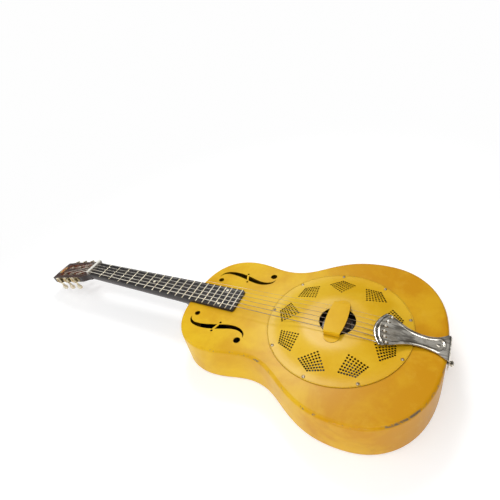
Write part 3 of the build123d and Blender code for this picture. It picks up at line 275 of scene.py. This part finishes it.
def wood(name, light, dark, rough):
    """Grain drawn out along the strings, with pores."""
    s = Shader(name)
    drawn_out = s.stretched(0.08, 1.0, 1.0)
    grain = s.noise(224.0, 6.0, 0.65, drawn_out, 0.4)
    bands = s.noise(28.0, 3.0, 0.5, drawn_out, 1.2)
    colour = s.mix(s.steps(grain, 0.35, 0.7), light, dark)
    colour = s.mix(s.spread(s.steps(bands, 0.4, 0.62), 0.0, 0.55), colour, dark)
    pores = s.steps(s.noise(1500.0, 2.0, 0.5, s.stretched(0.05, 1.0, 1.0)), 0.58, 0.7)
    colour = s.mix(s.spread(pores, 0.0, 0.5), colour, tuple(0.4 * c for c in dark))
    s.set("Base Color", colour)
    s.set("Roughness", s.spread(grain, rough - 0.07, rough + 0.12))
    s.bump(pores, 0.25, -0.12 * MM)
    return s.material


SLOTS_HALF_WIDTH = 22 * MM                  # both slots lie within this of the headstock's middle


def neck_finish():
    """Dark stained mahogany; the headstock's face is redder and rubbed, the slots are raw inside."""
    s = Shader("neck_lacquer", coat=0.3, coat_rough=0.15)
    s.set("Specular IOR Level", 0.2)
    grain = s.noise(260.0, 6.0, 0.65, s.stretched(0.07, 1.0, 1.0), 0.5)
    pores = s.steps(s.noise(1400.0, 2.0, 0.5, s.stretched(0.05, 1.0, 1.0)), 0.57, 0.7)
    dark = s.mix(s.steps(grain, 0.3, 0.7), (0.026, 0.010, 0.007), (0.010, 0.005, 0.004))
    red = s.mix(s.steps(grain, 0.3, 0.7), (0.075, 0.030, 0.020), (0.030, 0.012, 0.009))
    scuffs = s.steps(s.noise(90.0, 8.0, 0.75), 0.56, 0.70)
    red = s.mix(s.spread(scuffs, 0.0, 0.5), red, (0.28, 0.12, 0.07))
    head = s.steps(s.axis("X"), HEAD_ORIGIN.x - 1 * MM, HEAD_ORIGIN.x - 3 * MM)
    face = s.maths("MULTIPLY", head, s.steps(s.facing(HEAD_OUT), 0.80, 0.97))
    width = s.maths("ABSOLUTE", s.axis("Y"))
    between_slots = s.steps(width, SLOTS_HALF_WIDTH - 0.4 * MM, SLOTS_HALF_WIDTH + 0.4 * MM, invert=True)
    slot_side = s.maths("MULTIPLY", head, between_slots)
    raw = s.mix(s.steps(grain, 0.3, 0.7), (0.34, 0.12, 0.065), (0.15, 0.045, 0.028))
    colour = s.mix(slot_side, dark, raw)
    colour = s.mix(face, colour, red)
    rubbed = s.steps(s.noise(22.0, 6.0, 0.7), 0.55, 0.75)
    back = s.steps(s.facing((0, 0, -1)), 0.1, 0.8)
    colour = s.mix(s.spread(s.maths("MULTIPLY", rubbed, back), 0.0, 0.5), colour, (0.12, 0.045, 0.022))
    colour = s.mix(s.spread(pores, 0.0, 0.6), colour, (0.008, 0.004, 0.003))
    s.set("Base Color", colour)
    s.set("Roughness", s.spread(scuffs, 0.28, 0.5))
    s.bump(pores, 0.2, -0.1 * MM)
    s.bump(s.noise(50.0, 3.0, 0.5), 0.08, 1.0 * MM)
    return s.material


def board_finish():
    """Ebonised board: black dye gone grey where fingers and strings have rubbed it."""
    s = Shader("ebonised_board")
    s.set("Specular IOR Level", 0.3)
    grain = s.noise(420.0, 6.0, 0.7, s.stretched(0.05, 1.0, 1.0), 0.3)
    rubbed = s.steps(s.noise(30.0, 6.0, 0.7, s.stretched(0.6, 1.6, 1.0)), 0.42, 0.72)
    colour = s.mix(s.steps(grain, 0.35, 0.72), (0.014, 0.013, 0.014), (0.040, 0.036, 0.036))
    colour = s.mix(s.spread(rubbed, 0.0, 0.6), colour, (0.060, 0.052, 0.046))
    dents = s.steps(s.noise(180.0, 3.0, 0.6), 0.66, 0.74)
    colour = s.mix(s.spread(dents, 0.0, 0.5), colour, (0.20, 0.15, 0.11))
    # painted shade: corners and the board under edges are darkened to near black
    colour = s.mix(s.spread(s.crevice(2.0 * MM), 0.0, 0.7), colour, (0.010, 0.008, 0.008))
    s.set("Base Color", colour)
    s.set("Roughness", s.spread(grain, 0.34, 0.58))
    s.bump(grain, 0.25, 0.10 * MM)
    return s.material


def string_finish(name, clean, dull, wrap):
    """Drawn steel, or a core wrapped with fine wire where wrap is its pitch."""
    s = Shader(name, metallic=0.35)
    cloud = s.steps(s.noise(120.0, 5.0, 0.7, s.stretched(0.3, 1.0, 1.0)), 0.35, 0.7)
    past_board = s.steps(s.axis("X"), BOARD_END_X - 4 * MM, BOARD_END_X + 30 * MM)
    before_tail = s.steps(s.axis("X"), tail_low.x + 6 * MM, tail_low.x)
    over_body_reflection = s.maths("MULTIPLY", past_board, before_tail)
    colour = s.mix(cloud, clean, dull)
    # painted reflection: the strings are tinted brown over the body, as the golden top shows in them
    s.set("Base Color", s.mix(s.spread(over_body_reflection, 0.0, 0.75), colour, (0.22, 0.13, 0.05)))
    s.set("Roughness", s.spread(cloud, 0.3, 0.5))
    if wrap:
        turn = 2 * math.pi / wrap
        wave = s.maths("SINE", s.maths("MULTIPLY", s.axis("X"), turn))
        s.bump(wave, 0.6, 0.06 * MM)
    return s.material


def spun_metal(name, colour, rough):
    """Fine rings round the resonator's axis from the spinning tool."""
    s = Shader(name, metallic=1.0)
    radius = s.add("VectorMath", {"operation": "LENGTH"})
    flat = s.add("Mapping", Vector=s.place, Scale=(1, 1, 0))
    s.put(radius.inputs[0], flat.outputs["Vector"])
    along = s.add("CombineXYZ", X=radius.outputs["Value"])
    rings = s.noise(1600.0, 3.0, 0.6, along.outputs["Vector"])
    cloud = s.noise(30.0, 5.0, 0.6)
    s.set("Base Color", s.mix(s.steps(cloud, 0.3, 0.7), colour, tuple(0.72 * c for c in colour)))
    s.set("Roughness", s.spread(rings, rough - 0.08, rough + 0.12))
    s.bump(rings, 0.3, 0.12 * MM)
    return s.material


def smooth_stuff(name, light, dark, rough, scale, sheen=0.0):
    """Bone, pearl and celluloid: soft clouds in the body, light coming through, painted shade in the
    corners.
    """
    s = Shader(name, coat=0.4, coat_rough=0.1)
    cloud = s.steps(s.noise(scale, 5.0, 0.6, distortion=1.0), 0.3, 0.7)
    colour = s.mix(cloud, light, dark)
    streak = s.steps(s.noise(3 * scale, 4.0, 0.6, s.stretched(1.0, 0.25, 1.0)), 0.55, 0.75)
    colour = s.mix(s.spread(streak, 0.0, 0.35), colour, tuple(0.75 * c for c in dark))
    # painted shade: corners and under edges are darkened
    colour = s.mix(s.spread(s.crevice(1.5 * MM), 0.0, 0.7), colour, (0.12, 0.08, 0.05))
    s.set("Base Color", colour)
    s.set("Subsurface Weight", 0.08)
    s.set("Subsurface Scale", 1.5 * MM)
    s.set("Sheen Weight", sheen)
    s.set("Roughness", s.spread(cloud, rough, rough + 0.15))
    s.bump(cloud, 0.06, 0.3 * MM)
    return s.material


def riser_finish():
    """Bone that is clean along its crest and darker lower down with painted shade."""
    s = Shader("riser_bone", coat=0.4, coat_rough=0.1)
    cloud = s.steps(s.noise(90.0, 5.0, 0.6, distortion=1.0), 0.3, 0.7)
    colour = s.mix(cloud, (0.98, 0.97, 0.90), (0.90, 0.88, 0.78))
    # painted shade: the riser darkens below its crest
    lower_shade = s.steps(s.axis("Z"), RISER_TOP_Z - 1.2 * MM, RISER_TOP_Z - 3.2 * MM)
    mottle = s.steps(s.noise(240.0, 5.0, 0.7), 0.25, 0.6)
    colour = s.mix(s.maths("MULTIPLY", lower_shade, s.spread(mottle, 0.6, 0.95)), colour, (0.13, 0.10, 0.075))
    s.set("Base Color", colour)
    s.set("Roughness", s.spread(cloud, 0.25, 0.4))
    s.bump(mottle, 0.08, 0.2 * MM)
    return s.material


BADGE_CENTRE = on_head(153.5 * MM, 2 * MM)
BADGE_HALF_LENGTH = 9 * MM
BADGE_HALF_WIDTH = 14 * MM


def badge_finish():
    """A plain enamel badge: gilt rim, gold and orange fields and a green stripe."""
    s = Shader("badge_enamel", coat=0.7, coat_rough=0.08)
    x = s.maths("DIVIDE", s.maths("SUBTRACT", s.axis("X"), BADGE_CENTRE.x), -BADGE_HALF_LENGTH)
    y = s.maths("DIVIDE", s.maths("SUBTRACT", s.axis("Y"), BADGE_CENTRE.y), BADGE_HALF_WIDTH)
    reach = s.maths("SQRT", s.maths("ADD", s.maths("MULTIPLY", x, x), s.maths("MULTIPLY", y, y)))
    mottle = s.noise(300.0, 5.0, 0.65)
    slant = s.maths("SUBTRACT", x, y)
    orange = s.mix(s.steps(mottle, 0.3, 0.7), (0.72, 0.20, 0.03), (0.50, 0.09, 0.02))
    field = s.mix(s.steps(slant, 0.45, 0.55), orange, (0.60, 0.40, 0.08))
    stripe = s.maths("MULTIPLY", s.steps(slant, -0.78, -0.70), s.steps(slant, -0.42, -0.34, invert=True))
    field = s.mix(stripe, field, (0.06, 0.15, 0.04))
    rim = s.steps(reach, 0.82, 0.86)
    colour = s.mix(rim, field, (0.55, 0.36, 0.10))
    rubbed = s.steps(s.noise(160.0, 6.0, 0.75), 0.58, 0.68)
    colour = s.mix(s.spread(rubbed, 0.0, 0.7), colour, (0.16, 0.08, 0.045))
    s.set("Base Color", colour)
    s.set("Metallic", s.spread(rim, 0.0, 0.7))
    s.set("Roughness", s.spread(mottle, 0.2, 0.45))
    return s.material


FLOOR_GLOW = 0.42


def floor_finish():
    """A pale matt floor that fades into the white behind it."""
    s = Shader("pale_floor")
    s.set("Roughness", 0.7)
    s.set("Specular IOR Level", 0.0)
    cloud = s.noise(3.0, 4.0, 0.5)
    distance = s.add("VectorMath", {"operation": "LENGTH"})
    s.put(distance.inputs[0], s.place)
    fade = s.steps(distance.outputs["Value"], 0.35, 1.3)
    pale = s.mix(cloud, (0.70, 0.70, 0.70), (0.74, 0.74, 0.74))
    s.set("Base Color", s.mix(fade, pale, (0.0, 0.0, 0.0)))
    s.set("Emission Color", (1.0, 1.0, 1.0))
    s.set("Emission Strength", s.spread(fade, FLOOR_GLOW, 0.99))
    return s.material


body_paint = gold_paint("body_gold", (0.80, 0.50, 0.014), (0.61, 0.275, 0.0), 0.56, 0.3)
cover_paint = gold_paint("cover_gold", (0.79, 0.51, 0.030), (0.70, 0.39, 0.004), 0.60, 0.35)
rest_paint = gold_paint("rest_gold", (0.78, 0.47, 0.014), (0.70, 0.38, 0.004), 0.58, 0.08)
# painted reflection: the nickel's strong dark streaks along its length stand in for reflections
nickel = aged_metal("aged_nickel", (0.84, 0.80, 0.71), (0.46, 0.41, 0.33), 0.08, (0.12, 1, 1), 0.75)
screw_plate = aged_metal("screw_plate", (0.62, 0.52, 0.38), (0.36, 0.28, 0.18), 0.28)
tuner_steel = aged_metal("tuner_nickel", (0.95, 0.86, 0.64), (0.55, 0.45, 0.28), 0.2)
gear_brass = aged_metal("gear_brass", (0.74, 0.56, 0.28), (0.40, 0.27, 0.12), 0.26)
fret_wire = aged_metal("fret_wire", (0.95, 0.88, 0.70), (0.80, 0.70, 0.50), 0.3, (1, 0.2, 1), dirt=0.2)
# painted shade: the sound well's bare steel is darkened, for the shade under the cover
shaded_sheet = aged_metal("shaded_sheet", (0.20, 0.18, 0.15), (0.10, 0.085, 0.07), 0.4)
# painted shade: the cone's aluminium is made near black, for the shade inside the body
shaded_cone_metal = spun_metal("spun_aluminium", (0.13, 0.12, 0.11), 0.36)
# painted shade: the maple of the biscuit and saddle is made near-black brown, for the shade under the cover
shaded_maple = wood("shaded_maple", (0.09, 0.055, 0.03), (0.04, 0.024, 0.014), 0.55)
stick_wood = wood("stick_wood", (0.42, 0.26, 0.14), (0.24, 0.13, 0.07), 0.6)
neck_wood = neck_finish()
board_wood = board_finish()
plain_wire = string_finish("plain_wire", (0.95, 0.94, 0.88), (0.75, 0.72, 0.64), 0)
wound_wire = string_finish("wound_wire", (0.90, 0.85, 0.74), (0.62, 0.55, 0.44), 0.45 * MM)
coiled_wire = string_finish("coiled_wire", (0.30, 0.25, 0.19), (0.16, 0.12, 0.09), 0)
riser_bone = riser_finish()
roller_bone = smooth_stuff("roller_bone", (0.34, 0.25, 0.16), (0.20, 0.13, 0.08), 0.3, 90.0)
pearl = smooth_stuff("pearl", (0.96, 0.92, 0.76), (0.84, 0.78, 0.56), 0.2, 400.0, 0.3)
celluloid = smooth_stuff("celluloid", (0.82, 0.74, 0.56), (0.66, 0.55, 0.36), 0.2, 160.0)
badge = badge_finish()

FINISHES = {
    "top_plate": body_paint, "side_band": body_paint, "back_plate": body_paint,
    "cover_plate": cover_paint, "palm_rest": rest_paint, "cover_screws": screw_plate,
    "sound_well": shaded_sheet, "resonator_cone": shaded_cone_metal, "biscuit": shaded_maple, "saddle": shaded_maple,
    "biscuit_screw": screw_plate, "tailpiece": nickel, "tailpiece_screw": nickel, "end_pin": nickel,
    "neck": neck_wood, "neck_stick": stick_wood, "support_blocks": stick_wood, "tail_block": stick_wood,
    "fretboard": board_wood, "frets": fret_wire, "nut": board_wood, "nut_riser": riser_bone,
    "position_dots": pearl, "neck_screws": screw_plate,
    "plain_strings": plain_wire, "wound_strings": wound_wire,
    "tuner_plate_bass": tuner_steel, "tuner_plate_treble": tuner_steel, "tuner_plate_screws": screw_plate,
}
for number in range(1, 7):
    FINISHES[f"worm_shaft_{number}"] = tuner_steel
    FINISHES[f"button_{number}"] = celluloid
    FINISHES[f"gear_{number}"] = gear_brass
    FINISHES[f"roller_{number}"] = roller_bone
    FINISHES[f"string_winding_{number}"] = coiled_wire


def finish_nodes():
    """Gives every CAD node its material."""
    for name, node in nodes.items():
        node.data.materials.clear()
        node.data.materials.append(FINISHES[name])


finish_nodes()


# ---------------------------------------------------------------- pieces

def spaced(start, end, count):
    """Count places from start to end, both of them included."""
    return [start + (end - start) * step / (count - 1) for step in range(count)]


def eased(points, place):
    """Value at a place of the smooth curve through points."""
    last = len(points) - 1
    place = min(max(place, points[0][0]), points[last][0])
    index = next(i for i in range(last) if place <= points[i + 1][0])

    def slope(at):
        before, after = points[max(at - 1, 0)], points[min(at + 1, last)]
        return (after[1] - before[1]) / (after[0] - before[0])

    (x0, y0), (x1, y1) = points[index], points[index + 1]
    run = x1 - x0
    t = (place - x0) / run
    return (
        y0 * (1 - t) ** 2 * (1 + 2 * t) + y1 * t ** 2 * (3 - 2 * t)
        + run * (slope(index) * t * (1 - t) ** 2 - slope(index + 1) * t ** 2 * (1 - t))
    )


def ripple(distance, width):
    """A smooth ridge's height, 1 on its line and near 0 beyond its width."""
    return math.exp(-(distance / width) ** 2)


def surface_tree(name):
    """A CAD node's surface, to cast rays at."""
    mesh = nodes[name].data
    return BVHTree.FromPolygons([v.co for v in mesh.vertices], [p.vertices for p in mesh.polygons])


def shown(name, grid_rows, material, closed=False):
    """A smooth object from rows of places."""
    mesh = bpy.data.meshes.new(name)
    wide = len(grid_rows[0])
    faces = []
    for row in range(len(grid_rows) - 1):
        for column in range(wide if closed else wide - 1):
            after = (column + 1) % wide
            here, ahead = row * wide, (row + 1) * wide
            faces.append((here + column, here + after, ahead + after, ahead + column))
    mesh.from_pydata([place for line in grid_rows for place in line], [], faces)
    mesh.materials.append(material)
    mesh.shade_smooth()
    piece = bpy.data.objects.new(name, mesh)
    bpy.context.scene.collection.objects.link(piece)
    return piece


SHARP_ANGLE = math.radians(35)


def bake(piece):
    """Makes the piece's modifiers real."""
    bpy.context.view_layer.update()
    graph = bpy.context.evaluated_depsgraph_get()
    piece.data = bpy.data.meshes.new_from_object(piece.evaluated_get(graph))
    piece.modifiers.clear()
    piece.data.name = piece.name
    piece.data.set_sharp_from_angle(angle=SHARP_ANGLE)


BALL_START = 12 * MM                        # the balls lie at least this far behind the front edge
BALL_LEVEL = 15 * MM                        # and their crowns above this height over the top
BALL_GAP = 4 * MM                           # two balls are further apart than this


def string_balls():
    """Middle of each string's ball on the tailpiece, from the treble side."""
    high = [
        vertex.co for name in ("plain_strings", "wound_strings") for vertex in nodes[name].data.vertices
        if vertex.co.x > tail_low.x + BALL_START and vertex.co.z > TOP_Z + BALL_LEVEL
    ]
    high.sort(key=lambda co: -co.y)
    balls = [[high[0]]]
    for co in high[1:]:
        if balls[-1][-1].y - co.y > BALL_GAP:
            balls.append([])
        balls[-1].append(co)
    return [sum(ball, Vector()) / len(ball) for ball in balls]


def prism(name, outline, low, high):
    """A closed upright cutter over an outline."""
    mesh = bpy.data.meshes.new(name)
    bm = bmesh.new()
    bottom = [bm.verts.new((x, y, low)) for x, y in outline]
    top = [bm.verts.new((x, y, high)) for x, y in outline]
    bm.faces.new(bottom[::-1])
    bm.faces.new(top)
    for first in range(len(outline)):
        second = (first + 1) % len(outline)
        bm.faces.new((bottom[first], bottom[second], top[second], top[first]))
    bm.to_mesh(mesh)
    bm.free()
    cutter = bpy.data.objects.new(name, mesh)
    bpy.context.scene.collection.objects.link(cutter)
    return cutter


def long_hole(centre, length, width):
    """A slot's outline along the strings, round at both ends."""
    outline = []
    for end in (1, -1):
        for angle in spaced(-math.pi / 2, math.pi / 2, 8):
            outline.append((
                centre.x + end * ((length - width) / 2 + width / 2 * math.cos(angle)),
                centre.y + end * width / 2 * math.sin(angle),
            ))
    return outline


TAIL_SHEET = 1.4 * MM
TAIL_SLOT_LENGTH = 9 * MM
TAIL_SLOT_WIDTH = 2.5 * MM
TAIL_BEND = 4.5 * MM                        # outside radius of the bend at the rim
DECK_ROWS = 150
DECK_COLUMNS = 91
LIP_LEVEL = 13.3 * MM                       # height over the top at which the bowed front edge is read
BEAD_INSET = 4.2 * MM
BEAD_WIDTH = 1.6 * MM
BEAD_RISE = 1.1 * MM
BEAD_START = (10 * MM, 9 * MM)              # distance from the front edge, and length over which it rises
BEAD_LOOP = 9.5 * MM                        # how far the bead's loop runs behind the screw
# Distance from the front edge, half width and rise of each press line across the lip.
LIP_LINES = (
    (0.0, 1.5 * MM, -1.0 * MM),
    (4.5 * MM, 1.7 * MM, -1.1 * MM),
    (9.5 * MM, 2.2 * MM, 0.8 * MM),
)


def tailpiece_deck():
    """Rows of the pressed deck's upper side, from the bowed front edge to the rim."""
    tree = surface_tree("tailpiece")
    half_span = tail_high.y
    bend_x = tail_high.x - TAIL_BEND
    off_middle = 2.5 * MM                   # clear of the hole for the screw's shank

    def height(x):
        return tree.ray_cast(Vector((x, off_middle, 1)), Vector((0, 0, -1)))[0].z

    def side(x):
        return tree.ray_cast(Vector((x, 1, height(x) - TAIL_SHEET / 2)), Vector((0, -1, 0)))[0].y

    def front(y):
        return tree.ray_cast(Vector((0, y, TOP_Z + LIP_LEVEL)), Vector((1, 0, 0)))[0].x

    corner_x = front(0.98 * half_span)
    heights = [(x, height(x)) for x in spaced(tail_low.x + 1 * MM, bend_x - 1 * MM, 10)]
    sides = [(corner_x, half_span)] + [(x, side(x)) for x in spaced(corner_x + 8 * MM, bend_x - 0.5 * MM, 9)]
    screw_x = (screw_low.x + screw_high.x) / 2
    loop_half = eased(sides, screw_x) - BEAD_INSET
    rows = []
    for part in spaced(0, 1, DECK_ROWS):
        row = []
        for across in spaced(-1, 1, DECK_COLUMNS):
            front_x = tail_low.x + (corner_x - tail_low.x) * across ** 2
            x = front_x + (bend_x - front_x) * part
            half = eased(sides, max(x, corner_x))
            y = across * half
            z = eased(heights, x)
            from_front = x - front_x
            for distance, width, rise in LIP_LINES:
                z += rise * ripple(from_front - distance, width)
            behind = x - screw_x
            if behind < 0:
                off_bead = half - BEAD_INSET - abs(y)
            else:
                reach = math.hypot(behind / BEAD_LOOP, y / loop_half)
                off_bead = (1 - reach) * loop_half
            start = 1 - ripple(max(from_front - BEAD_START[0], 0), BEAD_START[1])
            z += BEAD_RISE * start * ripple(off_bead, BEAD_WIDTH)
            row.append((x, y, z))
        rows.append(row)
    return rows


FLANGE_MARGIN = 2 * MM                      # the flange is this much wider than a circle round the pin
FLANGE_TIP = 0.004                          # keeps the last row from closing to a point


def tailpiece_flange(edge):
    """Rows that carry the deck's end round the rim and down to the end pin."""
    rows = []
    for turn in spaced(0, math.pi / 2, 9)[1:]:
        drop = TAIL_BEND * (1 - math.cos(turn))
        rows.append([(x + TAIL_BEND * math.sin(turn), y, z - drop) for x, y, z in edge])
    pin_z = (pin_low.z + pin_high.z) / 2
    start_z = rows[-1][0][2]
    half_start = edge[-1][1]
    half_pin = pin_z - tail_low.z + FLANGE_MARGIN
    for z in spaced(start_z, tail_low.z, 40)[1:]:
        if z > pin_z:
            half = half_pin + (half_start - half_pin) * (z - pin_z) / (start_z - pin_z)
        else:
            below = (pin_z - z) / (pin_z - tail_low.z)
            half = half_pin * math.sqrt(max(1 - below ** 2, FLANGE_TIP))
        rows.append([(tail_high.x, across * half, z) for across in spaced(-1, 1, len(edge))])
    return rows


def pressed_tailpiece():
    """The plated tailpiece with its grooved lip, its looped bead and its six long string holes."""
    rows = tailpiece_deck()
    piece = shown("tailpiece_pressed", rows + tailpiece_flange(rows[-1]), nickel)
    sheet = piece.modifiers.new("sheet", "SOLIDIFY")
    sheet.thickness = TAIL_SHEET
    sheet.offset = -1
    cutters = [
        prism(f"cutter_{index}", long_hole(ball, TAIL_SLOT_LENGTH, TAIL_SLOT_WIDTH), TOP_Z, ball.z + 9 * MM)
        for index, ball in enumerate(string_balls())
    ]
    for cutter in cutters:
        cut = piece.modifiers.new(cutter.name, "BOOLEAN")
        cut.object = cutter
        cut.operation = "DIFFERENCE"
        cut.solver = "EXACT"
    bake(piece)
    for cutter in cutters:
        bpy.data.objects.remove(cutter)
    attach(piece, "guitar")
    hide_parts("tailpiece")


BADGE_SIDES = 64
# Distance from the badge's middle as a share of its half size, and height over the face in millimetres.
BADGE_PROFILE = (
    (1.0, -0.1), (1.0, 0.35), (0.93, 0.6), (0.8, 0.68), (0.5, 0.85), (0.2, 0.95), (0.01, 0.97),
)


def head_badge():
    """A thin domed oval let on to the headstock's face near its tip."""
    rows = []
    for reach, out in BADGE_PROFILE:
        ring = []
        for angle in spaced(0, 2 * math.pi, BADGE_SIDES + 1)[:-1]:
            along = reach * BADGE_HALF_LENGTH * math.cos(angle)
            across = reach * BADGE_HALF_WIDTH * math.sin(angle)
            ring.append(BADGE_CENTRE + HEAD_ALONG * along + Vector((0, -across, 0)) + HEAD_OUT * out * MM)
        rows.append(ring)
    piece = shown("head_badge", rows, badge, closed=True)
    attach(piece, "guitar")


pressed_tailpiece()
head_badge()


# ---------------------------------------------------------------- stage, light and camera

FLOOR_HALF_SIZE = 12


def stage_floor():
    """A wide pale floor under the back."""
    mesh = bpy.data.meshes.new("floor")
    bm = bmesh.new()
    bmesh.ops.create_grid(bm, x_segments=2, y_segments=2, size=FLOOR_HALF_SIZE)
    bm.to_mesh(mesh)
    bm.free()
    floor = bpy.data.objects.new("floor", mesh)
    floor.location = (0, 0, cad_bounds[0][2] - 0.2 * MM)
    floor.data.materials.append(floor_finish())
    bpy.context.scene.collection.objects.link(floor)


def soft_light(name, direction, distance, width, depth, power, target=(0, 0, 0)):
    """A softbox that looks at the guitar from a direction."""
    light = bpy.data.lights.new(name, "AREA")
    light.shape = "RECTANGLE"
    light.size = width
    light.size_y = depth
    light.energy = power
    lamp = bpy.data.objects.new(name, light)
    away = Vector(direction).normalized()
    lamp.location = Vector(target) + away * distance
    lamp.rotation_euler = away.to_track_quat("Z", "Y").to_euler()
    bpy.context.scene.collection.objects.link(lamp)


ROOM_LEVELS = ((0.0, 0.06), (0.25, 0.10), (0.55, 0.28), (1.0, 0.60))     # height in the sky, brightness


def pale_world():
    """White behind the guitar; for everything but the camera, a soft room that brightens overhead."""
    world = bpy.data.worlds.new("studio")
    world.use_nodes = True
    tree = world.node_tree
    room = tree.nodes["Background"]
    behind = tree.nodes.new("ShaderNodeBackground")
    behind.inputs["Color"].default_value = (0.99, 0.99, 0.99, 1)
    seen = tree.nodes.new("ShaderNodeLightPath")
    choose = tree.nodes.new("ShaderNodeMixShader")
    coordinates = tree.nodes.new("ShaderNodeTexCoord")
    split = tree.nodes.new("ShaderNodeSeparateXYZ")
    ramp = tree.nodes.new("ShaderNodeValToRGB")
    tree.links.new(coordinates.outputs["Generated"], split.inputs[0])
    tree.links.new(split.outputs["Z"], ramp.inputs["Fac"])
    tree.links.new(ramp.outputs["Color"], room.inputs["Color"])
    tree.links.new(seen.outputs["Is Camera Ray"], choose.inputs[0])
    tree.links.new(room.outputs[0], choose.inputs[1])
    tree.links.new(behind.outputs[0], choose.inputs[2])
    tree.links.new(choose.outputs[0], tree.nodes["World Output"].inputs["Surface"])
    for _ in ROOM_LEVELS[1:-1]:
        ramp.color_ramp.elements.new(0.5)
    for element, (position, level) in zip(ramp.color_ramp.elements, ROOM_LEVELS):
        element.position = position
        element.color = (level, level, level, 1)
    bpy.context.scene.world = world


CAMERA_PLACE = Vector((0.161, -0.4605, 0.646))
CAMERA_RIGHT = Vector((0.88190, 0.43223, -0.18822))
CAMERA_UP = Vector((-0.13225, 0.61004, 0.78126))
CAMERA_LENS = 27.64


def camera():
    """The photograph's viewpoint: high on the bass side, near the body, slightly rolled."""
    data = bpy.data.cameras.new("camera")
    data.lens = CAMERA_LENS
    data.sensor_width = 36
    data.clip_start = 0.01
    eye = bpy.data.objects.new("camera", data)
    back = CAMERA_RIGHT.cross(CAMERA_UP)
    turn = Matrix((CAMERA_RIGHT, CAMERA_UP, back)).transposed()
    eye.matrix_world = Matrix.Translation(CAMERA_PLACE) @ turn.to_4x4()
    bpy.context.scene.collection.objects.link(eye)
    bpy.context.scene.camera = eye


stage_floor()
pale_world()
soft_light("key", (-0.285, 0.54, 0.79), 2.0, 0.5, 0.5, 14, target=(-0.045, -0.06, 0.09))
soft_light("overhead_strip", (0.0, -0.33, 0.94), 1.8, 1.9, 0.35, 9)
soft_light("side", (-0.9, -0.35, 0.55), 2.2, 1.2, 1.2, 6)
soft_light("low_strip", (0.15, -0.95, 0.32), 1.4, 0.8, 0.2, 5)
camera()

scene = bpy.context.scene
scene.view_settings.view_transform = "Standard"
scene.view_settings.look = "None"
